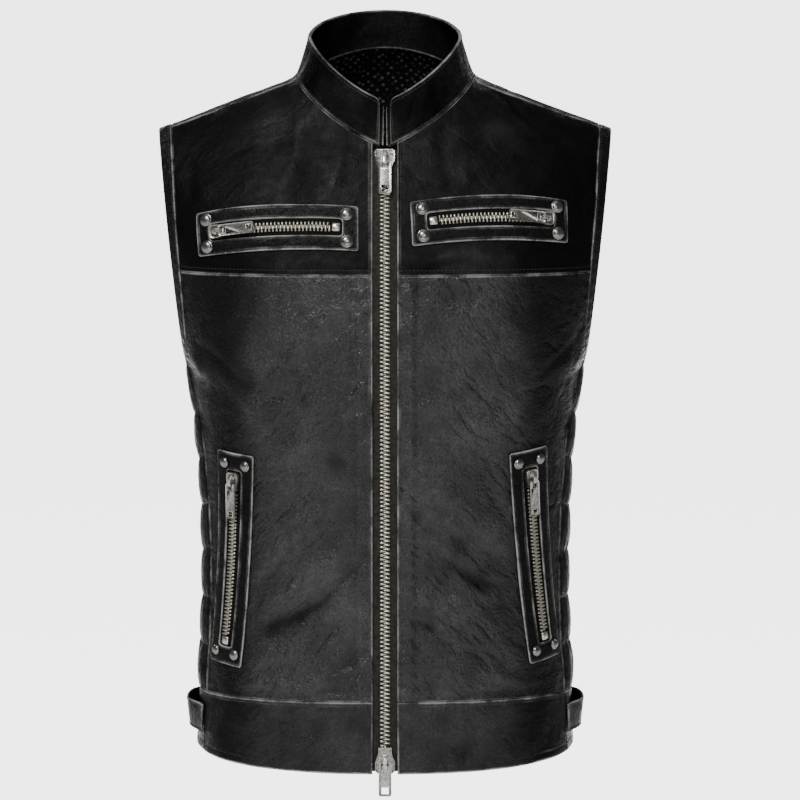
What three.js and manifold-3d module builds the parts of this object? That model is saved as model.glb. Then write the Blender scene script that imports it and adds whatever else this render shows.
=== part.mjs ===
// Sleeveless leather zip vest with a stand collar, quilted sides and a deep waistband, hollow and in
// its worn shape. Millimetres, +Z up, the front faces -Y and the wearer's left is +X. The origin lies
// midway between the two points where the collar meets the shoulders.
import * as THREE from "three";
import { mergeVertices } from "three/addons/utils/BufferGeometryUtils.js";
import Module from "manifold-3d";

const wasm = await Module();
wasm.setup();

// Driving sizes of the cloth
const LEATHER = 2.0; // one layer with its backing
const SEAM_GAP = 0.3; // between neighbouring pieces
const FRONT_EDGE_X = 11.5; // from the centre line to the edge beside the zip
const CHEST_SEAM_Z = -177;
const CHEST_SEAM_RISE = 1.5; // towards the centre front
const BAND_TOP_Z = -580;
const BAND_TOP_RISE = 4.5; // towards the centre front
const HEM_SIDE_Z = -634;
const HEM_FRONT_DIP = 10; // the hem hangs lower at the centre front
const HEM_BACK_DIP = 4;
const FRONT_REACH = 118; // depth of the hem's front, over which it dips
const BAND_THICKNESS = 3.0;
const BAND_PROUD = 0.6;

// The torso that the cloth stands on: one row for each height, as half width, depth in front and
// depth behind, before the shoulders round them off.
const TORSO = [
  { z: 70, half: 252, front: 40, back: 106 },
  { z: 0, half: 248, front: 44, back: 106 },
  { z: -46, half: 242, front: 60, back: 109 },
  { z: -70, half: 236, front: 73, back: 112 },
  { z: -110, half: 226, front: 95, back: 116 },
  { z: -165, half: 216, front: 113, back: 118 },
  { z: -215, half: 204.5, front: 120, back: 114 },
  { z: -240, half: 197, front: 121.5, back: 110 },
  { z: -262, half: 190, front: 122, back: 106 },
  { z: -285, half: 184.5, front: 121, back: 102 },
  { z: -320, half: 179.5, front: 118.5, back: 97 },
  { z: -380, half: 174.5, front: 114, back: 89 },
  { z: -450, half: 172.5, front: 111, back: 85 },
  { z: -520, half: 174, front: 111.5, back: 87 },
  { z: -585, half: 178, front: 115, back: 92 },
  { z: -650, half: 180, front: 118, back: 96 },
];
const SECTION_POWER = 2.45; // 2 is an ellipse, more is squarer
const NECK_HALF = 84; // from the centre to where the collar meets the shoulder
const SHOULDER_SLOPE = 0.375; // fall for each millimetre outwards
const NECK_SLOPE = 1.41; // rise for each millimetre inwards, inside the neck
const NECK_BEND = 0.0084; // how that rise levels off towards the nape
const NECK_BLEND = 3; // over which the shoulder's slope turns into the neck's
const NECK_SOFTENING = 0.3; // growth of that blend for each millimetre below the shoulder line
const SHOULDER_ROUND = 110; // height over which the shoulder rounds into the chest
const SEAM_FORWARD_Z = 2.4; // the shoulder seam lies this far below the ridge, on its front side

// The neck line and the collar
const NECK_FRONT_DROP = 59.5;
const NECK_FRONT_POWER = 1.3;
const NECK_BACK_RISE = 26;
const COLLAR_TOP = { half: 72, front: 61, back: 68, sideZ: 39, frontZ: -17, backZ: 60 };
const COLLAR_TOP_POWER = 1.3;
const COLLAR_THICKNESS = 3.2;
const COLLAR_FRONT_X = 5.2;
const COLLAR_HOLLOW = 1.6; // by which the middle of its height stands in
const FACING = { frontX: 1.9, thickness: 1.2, top: 0.94, gap: 0.6 };
const NECK_SHARE = 0.0035; // of the neck line, for a millimetre along it at the shoulder

// The armholes and their binding
const ARMHOLE = { topX: 213.5, topZ: -46, lean: 0.109 };
const ARMHOLE_POINTS = 32;
const FINE = 60; // steps of a line before it is divided for a panel
const HALVINGS = 40; // of a search along a line
const BINDING_WIDTH = 12.5;
const BINDING_THICKNESS = 3.4;

// The quilted side panels
const SIDE_SEAM = [
  { z: -250, front: -30, back: 34 },
  { z: -300, front: -41, back: 42 },
  { z: -380, front: -45, back: 44 },
  { z: -480, front: -46, back: 44 },
  { z: -590, front: -46, back: 46 },
  { z: -650, front: -46, back: 48 },
];
const QUILT_CHANNELS = 7;
const QUILT_PUFF = 3.6;
const SIDE_ROWS = QUILT_CHANNELS * 2; // rows of points along the side seams

// Soft drag lines of the fronts: the middle of each, its slope as seen from the front, its half
// length and half width, and how far it stands out. Those with a minus sign are troughs.
const FOLDS = [
  { x: -79, z: -421, slope: 0.91, length: 44, width: 11, height: 2.4 },
  { x: -71, z: -461, slope: 0.87, length: 56, width: 12, height: 3.0 },
  { x: -98, z: -502, slope: 0.9, length: 26, width: 12, height: -2.2 },
  { x: -34, z: -515, slope: 1.12, length: 32, width: 11, height: 2.2 },
  { x: 62, z: -385, slope: -1.07, length: 66, width: 12, height: 2.6 },
  { x: 88, z: -432, slope: -0.9, length: 40, width: 12, height: -1.8 },
  { x: 57, z: -487, slope: -0.5, length: 40, width: 12, height: 2.4 },
  { x: 48, z: -549, slope: -0.24, length: 36, width: 10, height: 1.6 },
  { x: 66, z: -253, slope: 0.72, length: 34, width: 12, height: 1.8 },
  { x: -168, z: -268, slope: -0.5, length: 22, width: 9, height: 2.2 },
  { x: 172, z: -262, slope: 0.6, length: 20, width: 9, height: 2.4 },
  { x: 108, z: -48, slope: -0.9, length: 26, width: 9, height: 1.8 },
  { x: 150, z: -70, slope: -0.3, length: 28, width: 10, height: 2.0 },
  { x: -70, z: -92, slope: 3.2, length: 40, width: 12, height: -2.0 },
];

// The zips, sliders and pull tabs
const CHAIN_HALF = 4.7;
const CHAIN_DEPTH = 3.2;
const TAPE_THICKNESS = 0.9;
const TAPE_HALF = 16.5;
const SLIDER = { length: 24, wide: 18.4, narrow: 12.5, body: 5.2 };
const SHOULDER_END = 0.08; // of a slider's length, from its middle, where its shoulders end
const WAIST_START = 0.25; // and where its narrow tail starts, behind the middle
const SLIDER_CORNER = 2;
const SMALL_SLIDER = { length: 17, wide: 12.6, narrow: 9.6, body: 4.6 };
const BRIDGE = { width: 3.4, length: 8.4, gap: 3.0, wall: 1.3 };
const PULL = {
  width: 12,
  length: 32,
  eyeWidth: 6,
  eyeReach: 6.6,
  bar: 1.5,
  thickness: 1.5,
  window: 6.4,
  rim: 2.2, // metal left beyond the window
  corner: 1.5,
};
const SMALL_PULL = { ...PULL, width: 10.6, length: 34, eyeWidth: 5.6, window: 5 };
const PULL_REST_TILT = 0.03; // radians by which a tab leans in to its chain

// The zip pockets: the middle of each patch, the turn of its long axis from the wearer's left, seen
// from the front and anticlockwise, and the bow of that axis. The slider is at the axis's far end.
const PATCH = { thickness: 1.4, clearance: 0.65 };
const CHEST_PATCH = {
  height: 43,
  windowMargin: 15,
  windowHeight: 16,
  rivetRise: 13,
  rivet: { radius: 6, height: 3 },
};
const LOWER_PATCH = {
  height: 42,
  windowMargin: 17,
  windowHeight: 16,
  rivetRise: 12,
  rivet: { radius: 5, height: 2.6 },
};
const POCKETS = [
  { name: "chest_pocket_left", x: 98.5, z: -126.5, width: 150, turn: 0.005, bow: 3.4, ...CHEST_PATCH },
  { name: "chest_pocket_right", x: -101.5, z: -135, width: 156, turn: 3.198, bow: -3, ...CHEST_PATCH },
  { name: "lower_pocket_left", x: 140.5, z: -442, width: 204, turn: 1.698, bow: 1, ...LOWER_PATCH },
  { name: "lower_pocket_right", x: -143, z: -446, width: 204, turn: 1.485, bow: -1, ...LOWER_PATCH },
];
const RIVET_INSET = 11;
const RIVET_FLANGE = 0.5;
const RIVET_SIDES = 12;

// The side straps on the waistband
const STRAP = {
  topZ: -592,
  height: 27,
  thickness: 2.4,
  frontInset: 2, // from the front side seam to its front end
  backReach: 12, // from the back side seam to its rear end
  sewn: 16, // length sewn down at each end
  bowTop: 8.5,
  bowBottom: 5,
};

// Reads one named column of a table at height z, with a smooth curve through its rows.
function column(table, name, z) {
  const last = table.length - 1;
  if (z >= table[0].z) return table[0][name];
  if (z <= table[last].z) return table[last][name];
  let i = 0;
  while (table[i + 1].z > z) i++;
  const slope = (k) => {
    const a = table[Math.max(k - 1, 0)];
    const b = table[Math.min(k + 1, last)];
    return (b[name] - a[name]) / (b.z - a.z);
  };
  const span = table[i + 1].z - table[i].z;
  const t = (z - table[i].z) / span;
  const t2 = t * t;
  const t3 = t2 * t;
  return (
    table[i][name] * (2 * t3 - 3 * t2 + 1) +
    slope(i) * span * (t3 - 2 * t2 + t) +
    table[i + 1][name] * (3 * t2 - 2 * t3) +
    slope(i + 1) * span * (t3 - t2)
  );
}

// Height of the shoulder ridge at a distance x from the centre. Seen from further down the cloth, the
// bend where the shoulder turns into the neck is softer.
function ridge(x, z = 0) {
  const out = Math.abs(x) - NECK_HALF;
  const blend = NECK_BLEND + NECK_SOFTENING * Math.max(0, -z - SHOULDER_SLOPE * Math.max(0, out));
  const inside = blend * Math.log(1 + Math.exp(-out / blend));
  const bend = NECK_BEND * Math.min(out, 0) ** 2;
  return -SHOULDER_SLOPE * out + (NECK_SLOPE - SHOULDER_SLOPE) * inside - bend;
}
const SIDE_NECK_Z = ridge(NECK_HALF);

// Zero on the torso, positive outside it. Near the shoulder ridge the depth leads, and lower down
// the section does; both forms vanish on the same surface.
function torso(x, y, z) {
  const half = column(TORSO, "half", z);
  const depth = column(TORSO, y < 0 ? "front" : "back", z);
  const cap = Math.max(0, 1 - (ridge(x, z) - z) / SHOULDER_ROUND);
  if (cap > 0.6) {
    const left = Math.max(0.02, 1 - Math.pow(Math.abs(x) / half, SECTION_POWER));
    return (y / (depth * Math.pow(left, 1 / SECTION_POWER))) ** 2 + cap * cap - 1;
  }
  const rounded = depth * Math.sqrt(1 - cap * cap);
  return Math.pow(Math.abs(x) / half, SECTION_POWER) + Math.pow(Math.abs(y) / rounded, SECTION_POWER) - 1;
}

function slopeOfTorso(p) {
  const h = 0.05;
  return new THREE.Vector3(
    torso(p.x + h, p.y, p.z) - torso(p.x - h, p.y, p.z),
    torso(p.x, p.y + h, p.z) - torso(p.x, p.y - h, p.z),
    torso(p.x, p.y, p.z + h) - torso(p.x, p.y, p.z - h),
  ).divideScalar(2 * h);
}

// Height of the folds at a point of the front.
function foldHeight(x, z) {
  let height = 0;
  for (const f of FOLDS) {
    const along = new THREE.Vector2(1, f.slope).normalize();
    const dx = x - f.x;
    const dz = z - f.z;
    const u = (dx * along.x + dz * along.y) / f.length;
    const v = (dz * along.x - dx * along.y) / f.width;
    height += f.height * Math.exp(-u * u - v * v);
  }
  return height;
}

function ontoTorso(rough) {
  const p = rough.clone();
  for (let i = 0; i < 12; i++) {
    const g = slopeOfTorso(p);
    p.addScaledVector(g, -torso(p.x, p.y, p.z) / g.lengthSq());
  }
  return p;
}

// Brings a rough point onto the cloth, and gives its outward normal too.
function onCloth(rough, raise = 0) {
  const p = ontoTorso(rough);
  const normal = slopeOfTorso(p).normalize();
  const fold = p.y < 0 ? foldHeight(p.x, p.z) : 0;
  return { p: p.addScaledVector(normal, fold + raise), normal };
}

// The point of the cloth at a height z and a distance x from the centre.
function clothAt(x, z, front = true) {
  const guess = column(TORSO, front ? "front" : "back", z) * 0.8 * (front ? -1 : 1);
  let inner = 0;
  let outer = guess * 2.5;
  for (let i = 0; i < HALVINGS; i++) {
    const y = (inner + outer) / 2;
    if (torso(x, y, z) < 0) inner = y;
    else outer = y;
  }
  return new THREE.Vector3(x, inner, z);
}

// The point of the cloth at height z on the side, at a given depth y.
function sideAt(y, z) {
  const rounded = column(TORSO, y < 0 ? "front" : "back", z);
  const half = column(TORSO, "half", z);
  const x = half * Math.pow(1 - Math.pow(Math.abs(y) / rounded, SECTION_POWER), 1 / SECTION_POWER);
  return new THREE.Vector3(x, y, z);
}

// A line of points, resampled to count points of equal spacing.
function resample(points, count) {
  const reach = [0];
  for (let i = 1; i < points.length; i++) {
    reach.push(reach[i - 1] + points[i].distanceTo(points[i - 1]));
  }
  const total = reach[reach.length - 1];
  let k = 0;
  return Array.from({ length: count }, (_, i) => {
    const want = (total * i) / (count - 1);
    while (k < points.length - 2 && reach[k + 1] < want) k++;
    const t = (want - reach[k]) / Math.max(reach[k + 1] - reach[k], 1e-9);
    return points[k].clone().lerp(points[k + 1], Math.min(Math.max(t, 0), 1));
  });
}

// The share, between two others, at which a test first holds.
function shareWhere(test, low = 0, high = 0.5) {
  let before = low;
  let after = high;
  for (let i = 0; i < HALVINGS; i++) {
    const share = (before + after) / 2;
    if (test(share)) after = share;
    else before = share;
  }
  return after;
}

const steps = (count, f) => Array.from({ length: count + 1 }, (_, i) => f(i / count));
const mirrored = (p) => new THREE.Vector3(-p.x, p.y, p.z);

// Joins lines end to end, each divided into its own number of equal steps, so that their corners stay.
function divided(...pairs) {
  const joined = pairs.flatMap(([line, count]) => resample(line, count + 1).slice(0, -1));
  const lastLine = pairs[pairs.length - 1][0];
  return [...joined, lastLine[lastLine.length - 1].clone()];
}

// A patch of cloth between four divided border lines, each ordered the same way as its opposite.
function patch(b, t, l, r) {
  const columns = b.length - 1;
  const rows = l.length - 1;
  return steps(rows, (v) => {
    const j = Math.round(v * rows);
    return steps(columns, (u) => {
      const i = Math.round(u * columns);
      const point = new THREE.Vector3()
        .addScaledVector(l[j], 1 - u)
        .addScaledVector(r[j], u)
        .addScaledVector(b[i], 1 - v)
        .addScaledVector(t[i], v)
        .addScaledVector(b[0], -(1 - u) * (1 - v))
        .addScaledVector(b[columns], -u * (1 - v))
        .addScaledVector(t[0], -(1 - u) * v)
        .addScaledVector(t[columns], -u * v);
      return onCloth(point);
    });
  });
}

// The neck line on the cloth, from the centre front (0) round one side to the centre back (1), let
// out by a given distance for the panels below it.
function neckLine(share, letOut = 0) {
  const turn = share * Math.PI;
  const front = turn < Math.PI / 2;
  const x = (NECK_HALF + letOut) * Math.sin(turn);
  const inside = Math.min(x / (NECK_HALF + letOut), 1);
  const drop = SIDE_NECK_Z + NECK_FRONT_DROP + letOut;
  const z = front
    ? SIDE_NECK_Z - drop * Math.pow(1 - Math.pow(inside, NECK_FRONT_POWER), 1 / NECK_FRONT_POWER)
    : SIDE_NECK_Z + (NECK_BACK_RISE - SIDE_NECK_Z - letOut) * (1 - inside * inside);
  const low = Math.min(z, ridge(x) - 0.02);
  return clothAt(x, low, front);
}

// The collar's top edge, on the same scale.
function collarTop(share) {
  const c = COLLAR_TOP;
  const turn = share * Math.PI;
  const front = turn < Math.PI / 2;
  const x = c.half * Math.sin(turn);
  const inside = Math.min(x / c.half, 1);
  const z = front
    ? c.sideZ + (c.frontZ - c.sideZ) * Math.pow(1 - Math.pow(inside, COLLAR_TOP_POWER), 1 / COLLAR_TOP_POWER)
    : c.sideZ + (c.backZ - c.sideZ) * Math.sqrt(1 - inside * inside);
  return new THREE.Vector3(x, -(front ? c.front : c.back) * Math.cos(turn), z);
}

// The closed edge of the wearer's left armhole: up the front, over the shoulder and down the back.
function armholeLoop(count) {
  const edgeX = (z) => ARMHOLE.topX + ARMHOLE.lean * (z - ARMHOLE.topZ);
  const find = (low, high, inside) => {
    for (let i = 0; i < HALVINGS; i++) {
      const z = (low + high) / 2;
      if (inside(z)) high = z;
      else low = z;
    }
    return high;
  };
  const bottom = find(-320, -240, (z) => column(TORSO, "half", z) > edgeX(z));
  const top = find(-20, -80, (z) => ridge(edgeX(z)) > z);
  const eased = (v) => (1 - Math.cos(Math.PI * v)) / 2;
  const rise = (front) =>
    steps(160, (v) => {
      const z = bottom + (top - bottom) * eased(v);
      return clothAt(edgeX(z), z, front);
    });
  const front = rise(true);
  const back = rise(false).reverse();
  return resample([...front, ...back.slice(1)], count + 1).slice(0, count);
}

// Around a closed line on the cloth: the outward normal at each point and the way across the line,
// towards the middle of the hole.
function frames(loop) {
  return loop.map((p, i) => {
    const before = loop[(i + loop.length - 1) % loop.length];
    const after = loop[(i + 1) % loop.length];
    const along = after.clone().sub(before).normalize();
    const { normal } = onCloth(p);
    const across = new THREE.Vector3().crossVectors(normal, along).normalize();
    return { p, along, normal, across };
  });
}

const ARMHOLE_EDGE = armholeLoop(ARMHOLE_POINTS);
const ARMHOLE_FRAMES = frames(ARMHOLE_EDGE);
const holeMiddle = ARMHOLE_EDGE.reduce((sum, p) => sum.add(p), new THREE.Vector3())
  .divideScalar(ARMHOLE_EDGE.length);
const INWARD = ARMHOLE_FRAMES[0].across.dot(holeMiddle.clone().sub(ARMHOLE_EDGE[0])) > 0 ? 1 : -1;
// Where the panels end and the binding begins. The panels keep these points as their own.
const BINDING_LINE = ARMHOLE_FRAMES.map(({ p, across }) =>
  ontoTorso(p.clone().addScaledVector(across, -INWARD * (BINDING_WIDTH + SEAM_GAP))),
);

// The first place along a line at which a test starts to hold, on the straight between two points.
function cut(line, test) {
  const index = line.findIndex((p, i) => i > 0 && test(p) && !test(line[i - 1])) - 1;
  const share = shareWhere((t) => test(line[index].clone().lerp(line[index + 1], t)), 0, 1);
  return { index, p: line[index].clone().lerp(line[index + 1], share) };
}
const stretch = (line, from, to) => [from.p, ...line.slice(from.index + 1, to.index + 1), to.p];

const chestSeamZ = (x) => CHEST_SEAM_Z + CHEST_SEAM_RISE * Math.max(0, 1 - (x / 190) ** 2);
const towardsFront = (y) => Math.min(1, Math.max(-y, 0) / FRONT_REACH) ** 1.5;
const towardsBack = (y) => Math.min(1, Math.max(y, 0) / FRONT_REACH) ** 1.5;
const bandTopZ = (y) => BAND_TOP_Z + BAND_TOP_RISE * towardsFront(y);
const hemZ = (y) => HEM_SIDE_Z - HEM_FRONT_DIP * towardsFront(y) - HEM_BACK_DIP * towardsBack(y);

// The side seam, from the waistband up to its end on the binding line. The panels on both sides of
// it have their points at the same heights.
function sideSeam(front, end, inset) {
  const low = bandTopZ(front ? column(SIDE_SEAM, "front", BAND_TOP_Z) : 0) + SEAM_GAP / 2;
  const seam = steps(SIDE_ROWS, (v) => {
    const z = low + (end.z - low) * v;
    const y = column(SIDE_SEAM, front ? "front" : "back", z) + (front ? -inset : inset);
    return sideAt(y, z);
  });
  return [...seam.slice(0, -1), end];
}

// A level line round the cloth at the height given by zAt, between two distances x from the centre.
function levelLine(x0, x1, zAt, front) {
  return steps(FINE, (v) => {
    const x = x0 + (x1 - x0) * v;
    return clothAt(x, zAt(x), front);
  });
}

const panelNeck = (share) => neckLine(share, SEAM_GAP);
const HALF_GAP = SEAM_GAP / 2;
const UPPER_FRONT_LINE = BINDING_LINE.slice(0, BINDING_LINE.length / 2 + 2);
const UPPER_BACK_LINE = [BINDING_LINE[0], ...BINDING_LINE.slice(BINDING_LINE.length / 2 - 3).reverse()];
const sideSeamCut = (front, gap) =>
  front
    ? cut(UPPER_FRONT_LINE, (p) => p.y < column(SIDE_SEAM, "front", p.z) - gap)
    : cut(UPPER_BACK_LINE, (p) => p.y > column(SIDE_SEAM, "back", p.z) + gap);
const chestSeamCut = (gap) => cut(UPPER_FRONT_LINE, (p) => p.z > chestSeamZ(p.x) + gap);
const shoulderCut = (line, gap) =>
  line === UPPER_FRONT_LINE
    ? cut(line, (p) => p.z > ridge(p.x) - SEAM_FORWARD_Z - gap || p.y > 0)
    : cut(line, (p) => p.y < 0 && p.z < ridge(p.x) - SEAM_FORWARD_Z + gap);

// The shoulder seam, in front of the ridge, from the neck line out to the binding.
const seamOnNeck = shareWhere((t) => panelNeck(t).z > ridge(panelNeck(t).x) - SEAM_FORWARD_Z);
function shoulderSeam(gap, end) {
  const share = seamOnNeck - gap * NECK_SHARE;
  const start = panelNeck(share);
  const seam = steps(FINE, (v) => {
    const x = start.x + (end.x - start.x) * v;
    return clothAt(x, ridge(x) - SEAM_FORWARD_Z - gap, true);
  });
  return { share, seam: [start, ...seam.slice(1, -1), end] };
}
const neckStretch = (from, to, count) => steps(count, (v) => panelNeck(from + (to - from) * v));
const NECK_COLUMNS = { front: 8, back: 9 };
const LOWER_FRONT_COLUMNS = 14;
// The waistband's top seam on the front, between two distances x from the centre.
const bandLine = (x0, x1, raise) =>
  steps(FINE, (v) => {
    const x = x0 + (x1 - x0) * v;
    const { y } = clothAt(x, BAND_TOP_Z, true);
    return clothAt(x, bandTopZ(y) + raise, true);
  });
const neckAtZip = shareWhere((t) => panelNeck(t).x > FRONT_EDGE_X);

function yokeGrid() {
  const bottomZ = (x) => chestSeamZ(x) + HALF_GAP;
  const from = chestSeamCut(HALF_GAP);
  const to = shoulderCut(UPPER_FRONT_LINE, HALF_GAP);
  const armhole = stretch(UPPER_FRONT_LINE, from, to);
  const { share, seam } = shoulderSeam(HALF_GAP, to.p);
  const neck = neckStretch(neckAtZip, share, NECK_COLUMNS.front);
  const bottom = levelLine(FRONT_EDGE_X, from.p.x, bottomZ, true);
  bottom[FINE] = from.p;
  const low = bottom[0].z;
  const zipEdge = steps(FINE, (v) => clothAt(FRONT_EDGE_X, low + (neck[0].z - low) * v, true));
  return patch(
    divided([bottom, 14]),
    [...neck.slice(0, -1), ...divided([seam, 6])],
    divided([zipEdge, armhole.length - 1]),
    armhole,
  );
}

function lowerFrontGrid() {
  const topZ = (x) => chestSeamZ(x) - HALF_GAP;
  const from = sideSeamCut(true, HALF_GAP);
  const to = chestSeamCut(-HALF_GAP);
  const armhole = stretch(UPPER_FRONT_LINE, from, to);
  const seam = sideSeam(true, from.p, HALF_GAP);
  const bottom = bandLine(FRONT_EDGE_X, seam[0].x - 0.5, HALF_GAP);
  const top = levelLine(FRONT_EDGE_X, to.p.x, topZ, true);
  top[FINE] = to.p;
  const low = bottom[0].z;
  const zipEdge = steps(FINE, (v) => clothAt(FRONT_EDGE_X, low + (top[0].z - low) * v, true));
  const side = [...seam.slice(0, -1), ...armhole];
  return patch(
    divided([[...bottom.slice(0, -1), seam[0]], LOWER_FRONT_COLUMNS]),
    divided([top, LOWER_FRONT_COLUMNS]),
    divided([zipEdge, side.length - 1]),
    side,
  );
}

// Half of the back, from the centre to the wearer's left.
function halfBackGrid() {
  const bottomZ = BAND_TOP_Z + HALF_GAP;
  const from = sideSeamCut(false, HALF_GAP);
  const to = shoulderCut(UPPER_BACK_LINE, HALF_GAP);
  const armhole = stretch(UPPER_BACK_LINE, from, to);
  const sew = sideSeam(false, from.p, HALF_GAP);
  const bottom = levelLine(0, sew[0].x - 0.5, () => bottomZ, false);
  const { share, seam } = shoulderSeam(-HALF_GAP, to.p);
  const neck = neckStretch(1, share, NECK_COLUMNS.back);
  const spine = steps(FINE, (v) => clothAt(0, bottomZ + (neck[0].z - bottomZ) * v, false));
  const side = [...sew.slice(0, -1), ...armhole];
  return patch(
    divided([[...bottom.slice(0, -1), sew[0]], NECK_COLUMNS.back + 5]),
    [...neck.slice(0, -1), ...divided([seam, 5])],
    divided([spine, side.length - 1]),
    side,
  );
}

// A quilted side. Its rows are twice as many as the seams', on the same straight lines.
function sidePanelGrid() {
  const front = sideSeamCut(true, -HALF_GAP);
  const back = sideSeamCut(false, -HALF_GAP);
  const twice = (line) =>
    line.flatMap((p, i) => (i < line.length - 1 ? [p, p.clone().lerp(line[i + 1], 0.5)] : [p]));
  const left = twice(sideSeam(true, front.p, -HALF_GAP));
  const right = twice(sideSeam(false, back.p, -HALF_GAP));
  const under = UPPER_FRONT_LINE.slice(0, front.index + 1).reverse();
  const behind = UPPER_BACK_LINE.slice(1, back.index + 1);
  const top = [front.p, ...under, ...behind, back.p];
  const bottom = steps(40, (v) => {
    const y = left[0].y + (right[0].y - left[0].y) * v;
    return sideAt(y, left[0].z + (right[0].z - left[0].z) * v);
  });
  return patch(divided([bottom, top.length - 1]), top, left, right);
}

// Turns a list of triangles over a list of points into a geometry whose faces point outwards.
function geometryOf(points, triangles) {
  let volume = 0;
  for (const [a, b, c] of triangles) {
    volume += points[a].dot(new THREE.Vector3().crossVectors(points[b], points[c]));
  }
  const index = triangles.flatMap(([a, b, c]) => (volume < 0 ? [a, c, b] : [a, b, c]));
  const geometry = new THREE.BufferGeometry();
  geometry.setAttribute("position", new THREE.Float32BufferAttribute(points.flatMap((p) => p.toArray()), 3));
  geometry.setIndex(index);
  geometry.computeVertexNormals();
  return geometry;
}

// A wall between two grids of points. With closed, the rows join round into a ring.
function wall(outer, inner, closed = false) {
  const rows = outer.length;
  const columns = outer[0].length;
  const points = [...outer.flat(), ...inner.flat()];
  const at = (side, j, i) => side * rows * columns + (j % rows) * columns + i;
  const triangles = [];
  const quad = (a, b, c, d) => {
    const along = points[a].distanceTo(points[c]) <= points[b].distanceTo(points[d]) + 1e-6;
    triangles.push(...(along ? [[a, b, c], [a, c, d]] : [[a, b, d], [b, c, d]]));
  };
  const lastRow = closed ? rows : rows - 1;
  for (let j = 0; j < lastRow; j++) {
    for (let i = 0; i < columns - 1; i++) {
      quad(at(0, j, i), at(0, j, i + 1), at(0, j + 1, i + 1), at(0, j + 1, i));
      quad(at(1, j, i), at(1, j + 1, i), at(1, j + 1, i + 1), at(1, j, i + 1));
    }
    quad(at(0, j, 0), at(0, j + 1, 0), at(1, j + 1, 0), at(1, j, 0));
    quad(at(0, j, columns - 1), at(1, j, columns - 1), at(1, j + 1, columns - 1), at(0, j + 1, columns - 1));
  }
  if (!closed) {
    for (let i = 0; i < columns - 1; i++) {
      quad(at(0, 0, i), at(1, 0, i), at(1, 0, i + 1), at(0, 0, i + 1));
      quad(at(0, rows - 1, i), at(0, rows - 1, i + 1), at(1, rows - 1, i + 1), at(1, rows - 1, i));
    }
  }
  return geometryOf(points, triangles);
}

// A wall of one thickness under a grid of cloth points. Relief raises the outer points only.
function clothWall(grid, { thickness = LEATHER, proud = 0, relief = () => 0 } = {}) {
  const rows = grid.length - 1;
  const columns = grid[0].length - 1;
  const outer = grid.map((row, j) =>
    row.map(({ p, normal }, i) => p.clone().addScaledVector(normal, proud + relief(i / columns, j / rows))),
  );
  const inner = grid.map((row) =>
    row.map(({ p, normal }) => p.clone().addScaledVector(normal, proud - thickness)),
  );
  return wall(outer, inner);
}

// A bar through rings of points. Open bars get flat ends, filled by the given triangles of the ring.
function bar(rings, closed, endTriangles = []) {
  const size = rings[0].length;
  const points = rings.flat();
  const triangles = [];
  const count = closed ? rings.length : rings.length - 1;
  for (let j = 0; j < count; j++) {
    for (let i = 0; i < size; i++) {
      const a = j * size + i;
      const b = j * size + ((i + 1) % size);
      const c = ((j + 1) % rings.length) * size + ((i + 1) % size);
      const d = ((j + 1) % rings.length) * size + i;
      triangles.push([a, b, c], [a, c, d]);
    }
  }
  if (!closed) {
    const far = (rings.length - 1) * size;
    for (const [a, b, c] of endTriangles) triangles.push([a, c, b], [far + a, far + b, far + c]);
  }
  return geometryOf(points, triangles);
}

// A bar of one profile (pairs of across, height) along frames of cloth. Its ends are flat.
function profileBar(stations, profile) {
  const flat = profile.map(([u, w]) => new THREE.Vector2(u, w));
  const clockwise = THREE.ShapeUtils.isClockWise(flat);
  const ends = THREE.ShapeUtils.triangulateShape(clockwise ? [...flat].reverse() : flat, []);
  const last = flat.length - 1;
  const endTriangles = clockwise ? ends.map((t) => t.map((k) => last - k).reverse()) : ends;
  const rings = stations.map(({ p, across, normal }) =>
    flat.map(({ x, y }) => p.clone().addScaledVector(across, x).addScaledVector(normal, y)),
  );
  return bar(rings, false, endTriangles);
}

function solidOf(geometry) {
  const g = geometry.clone();
  g.deleteAttribute("normal");
  if (g.getAttribute("uv")) g.deleteAttribute("uv");
  const merged = mergeVertices(g, 1e-4);
  return new wasm.Manifold(
    new wasm.Mesh({
      numProp: 3,
      vertProperties: new Float32Array(merged.attributes.position.array),
      triVerts: new Uint32Array(merged.index.array),
    }),
  );
}

function geometryFrom(solid) {
  const mesh = solid.getMesh();
  const geometry = new THREE.BufferGeometry();
  geometry.setAttribute("position", new THREE.BufferAttribute(new Float32Array(mesh.vertProperties), 3));
  geometry.setIndex(new THREE.BufferAttribute(new Uint32Array(mesh.triVerts), 1));
  geometry.computeVertexNormals();
  return geometry;
}

// Materials
const leather = () => new THREE.MeshStandardMaterial({ color: 0x1d1d1e, roughness: 0.5, metalness: 0 });
const mesh = () => new THREE.MeshStandardMaterial({ color: 0x0c0c0d, roughness: 0.9, metalness: 0 });
const tape = () => new THREE.MeshStandardMaterial({ color: 0x15140f, roughness: 0.95, metalness: 0 });
const metal = () => new THREE.MeshStandardMaterial({ color: 0xa39d92, roughness: 0.35, metalness: 1 });

const vest = new THREE.Group();
function add(name, geometry, material) {
  const piece = new THREE.Mesh(geometry, material);
  piece.name = name;
  vest.add(piece);
  return piece;
}

const SIDES = [
  { name: "left", sign: 1 },
  { name: "right", sign: -1 },
];
// A grid of cloth on the wearer's left, or its mirror image with the folds of that side.
function sided(grid, sign) {
  return grid.map((row) =>
    row.map(({ p, normal }) => {
      const bare = p.clone().addScaledVector(normal, -(p.y < 0 ? foldHeight(p.x, p.z) : 0));
      return onCloth(sign > 0 ? bare : mirrored(bare));
    }),
  );
}

const quilt = (u, v) => {
  const channel = Math.abs(Math.sin(Math.PI * v * QUILT_CHANNELS));
  const edge = Math.min(1, 6 * Math.min(u, 1 - u));
  return QUILT_PUFF * Math.sqrt(channel) * Math.sqrt(Math.max(0, edge));
};

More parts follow.
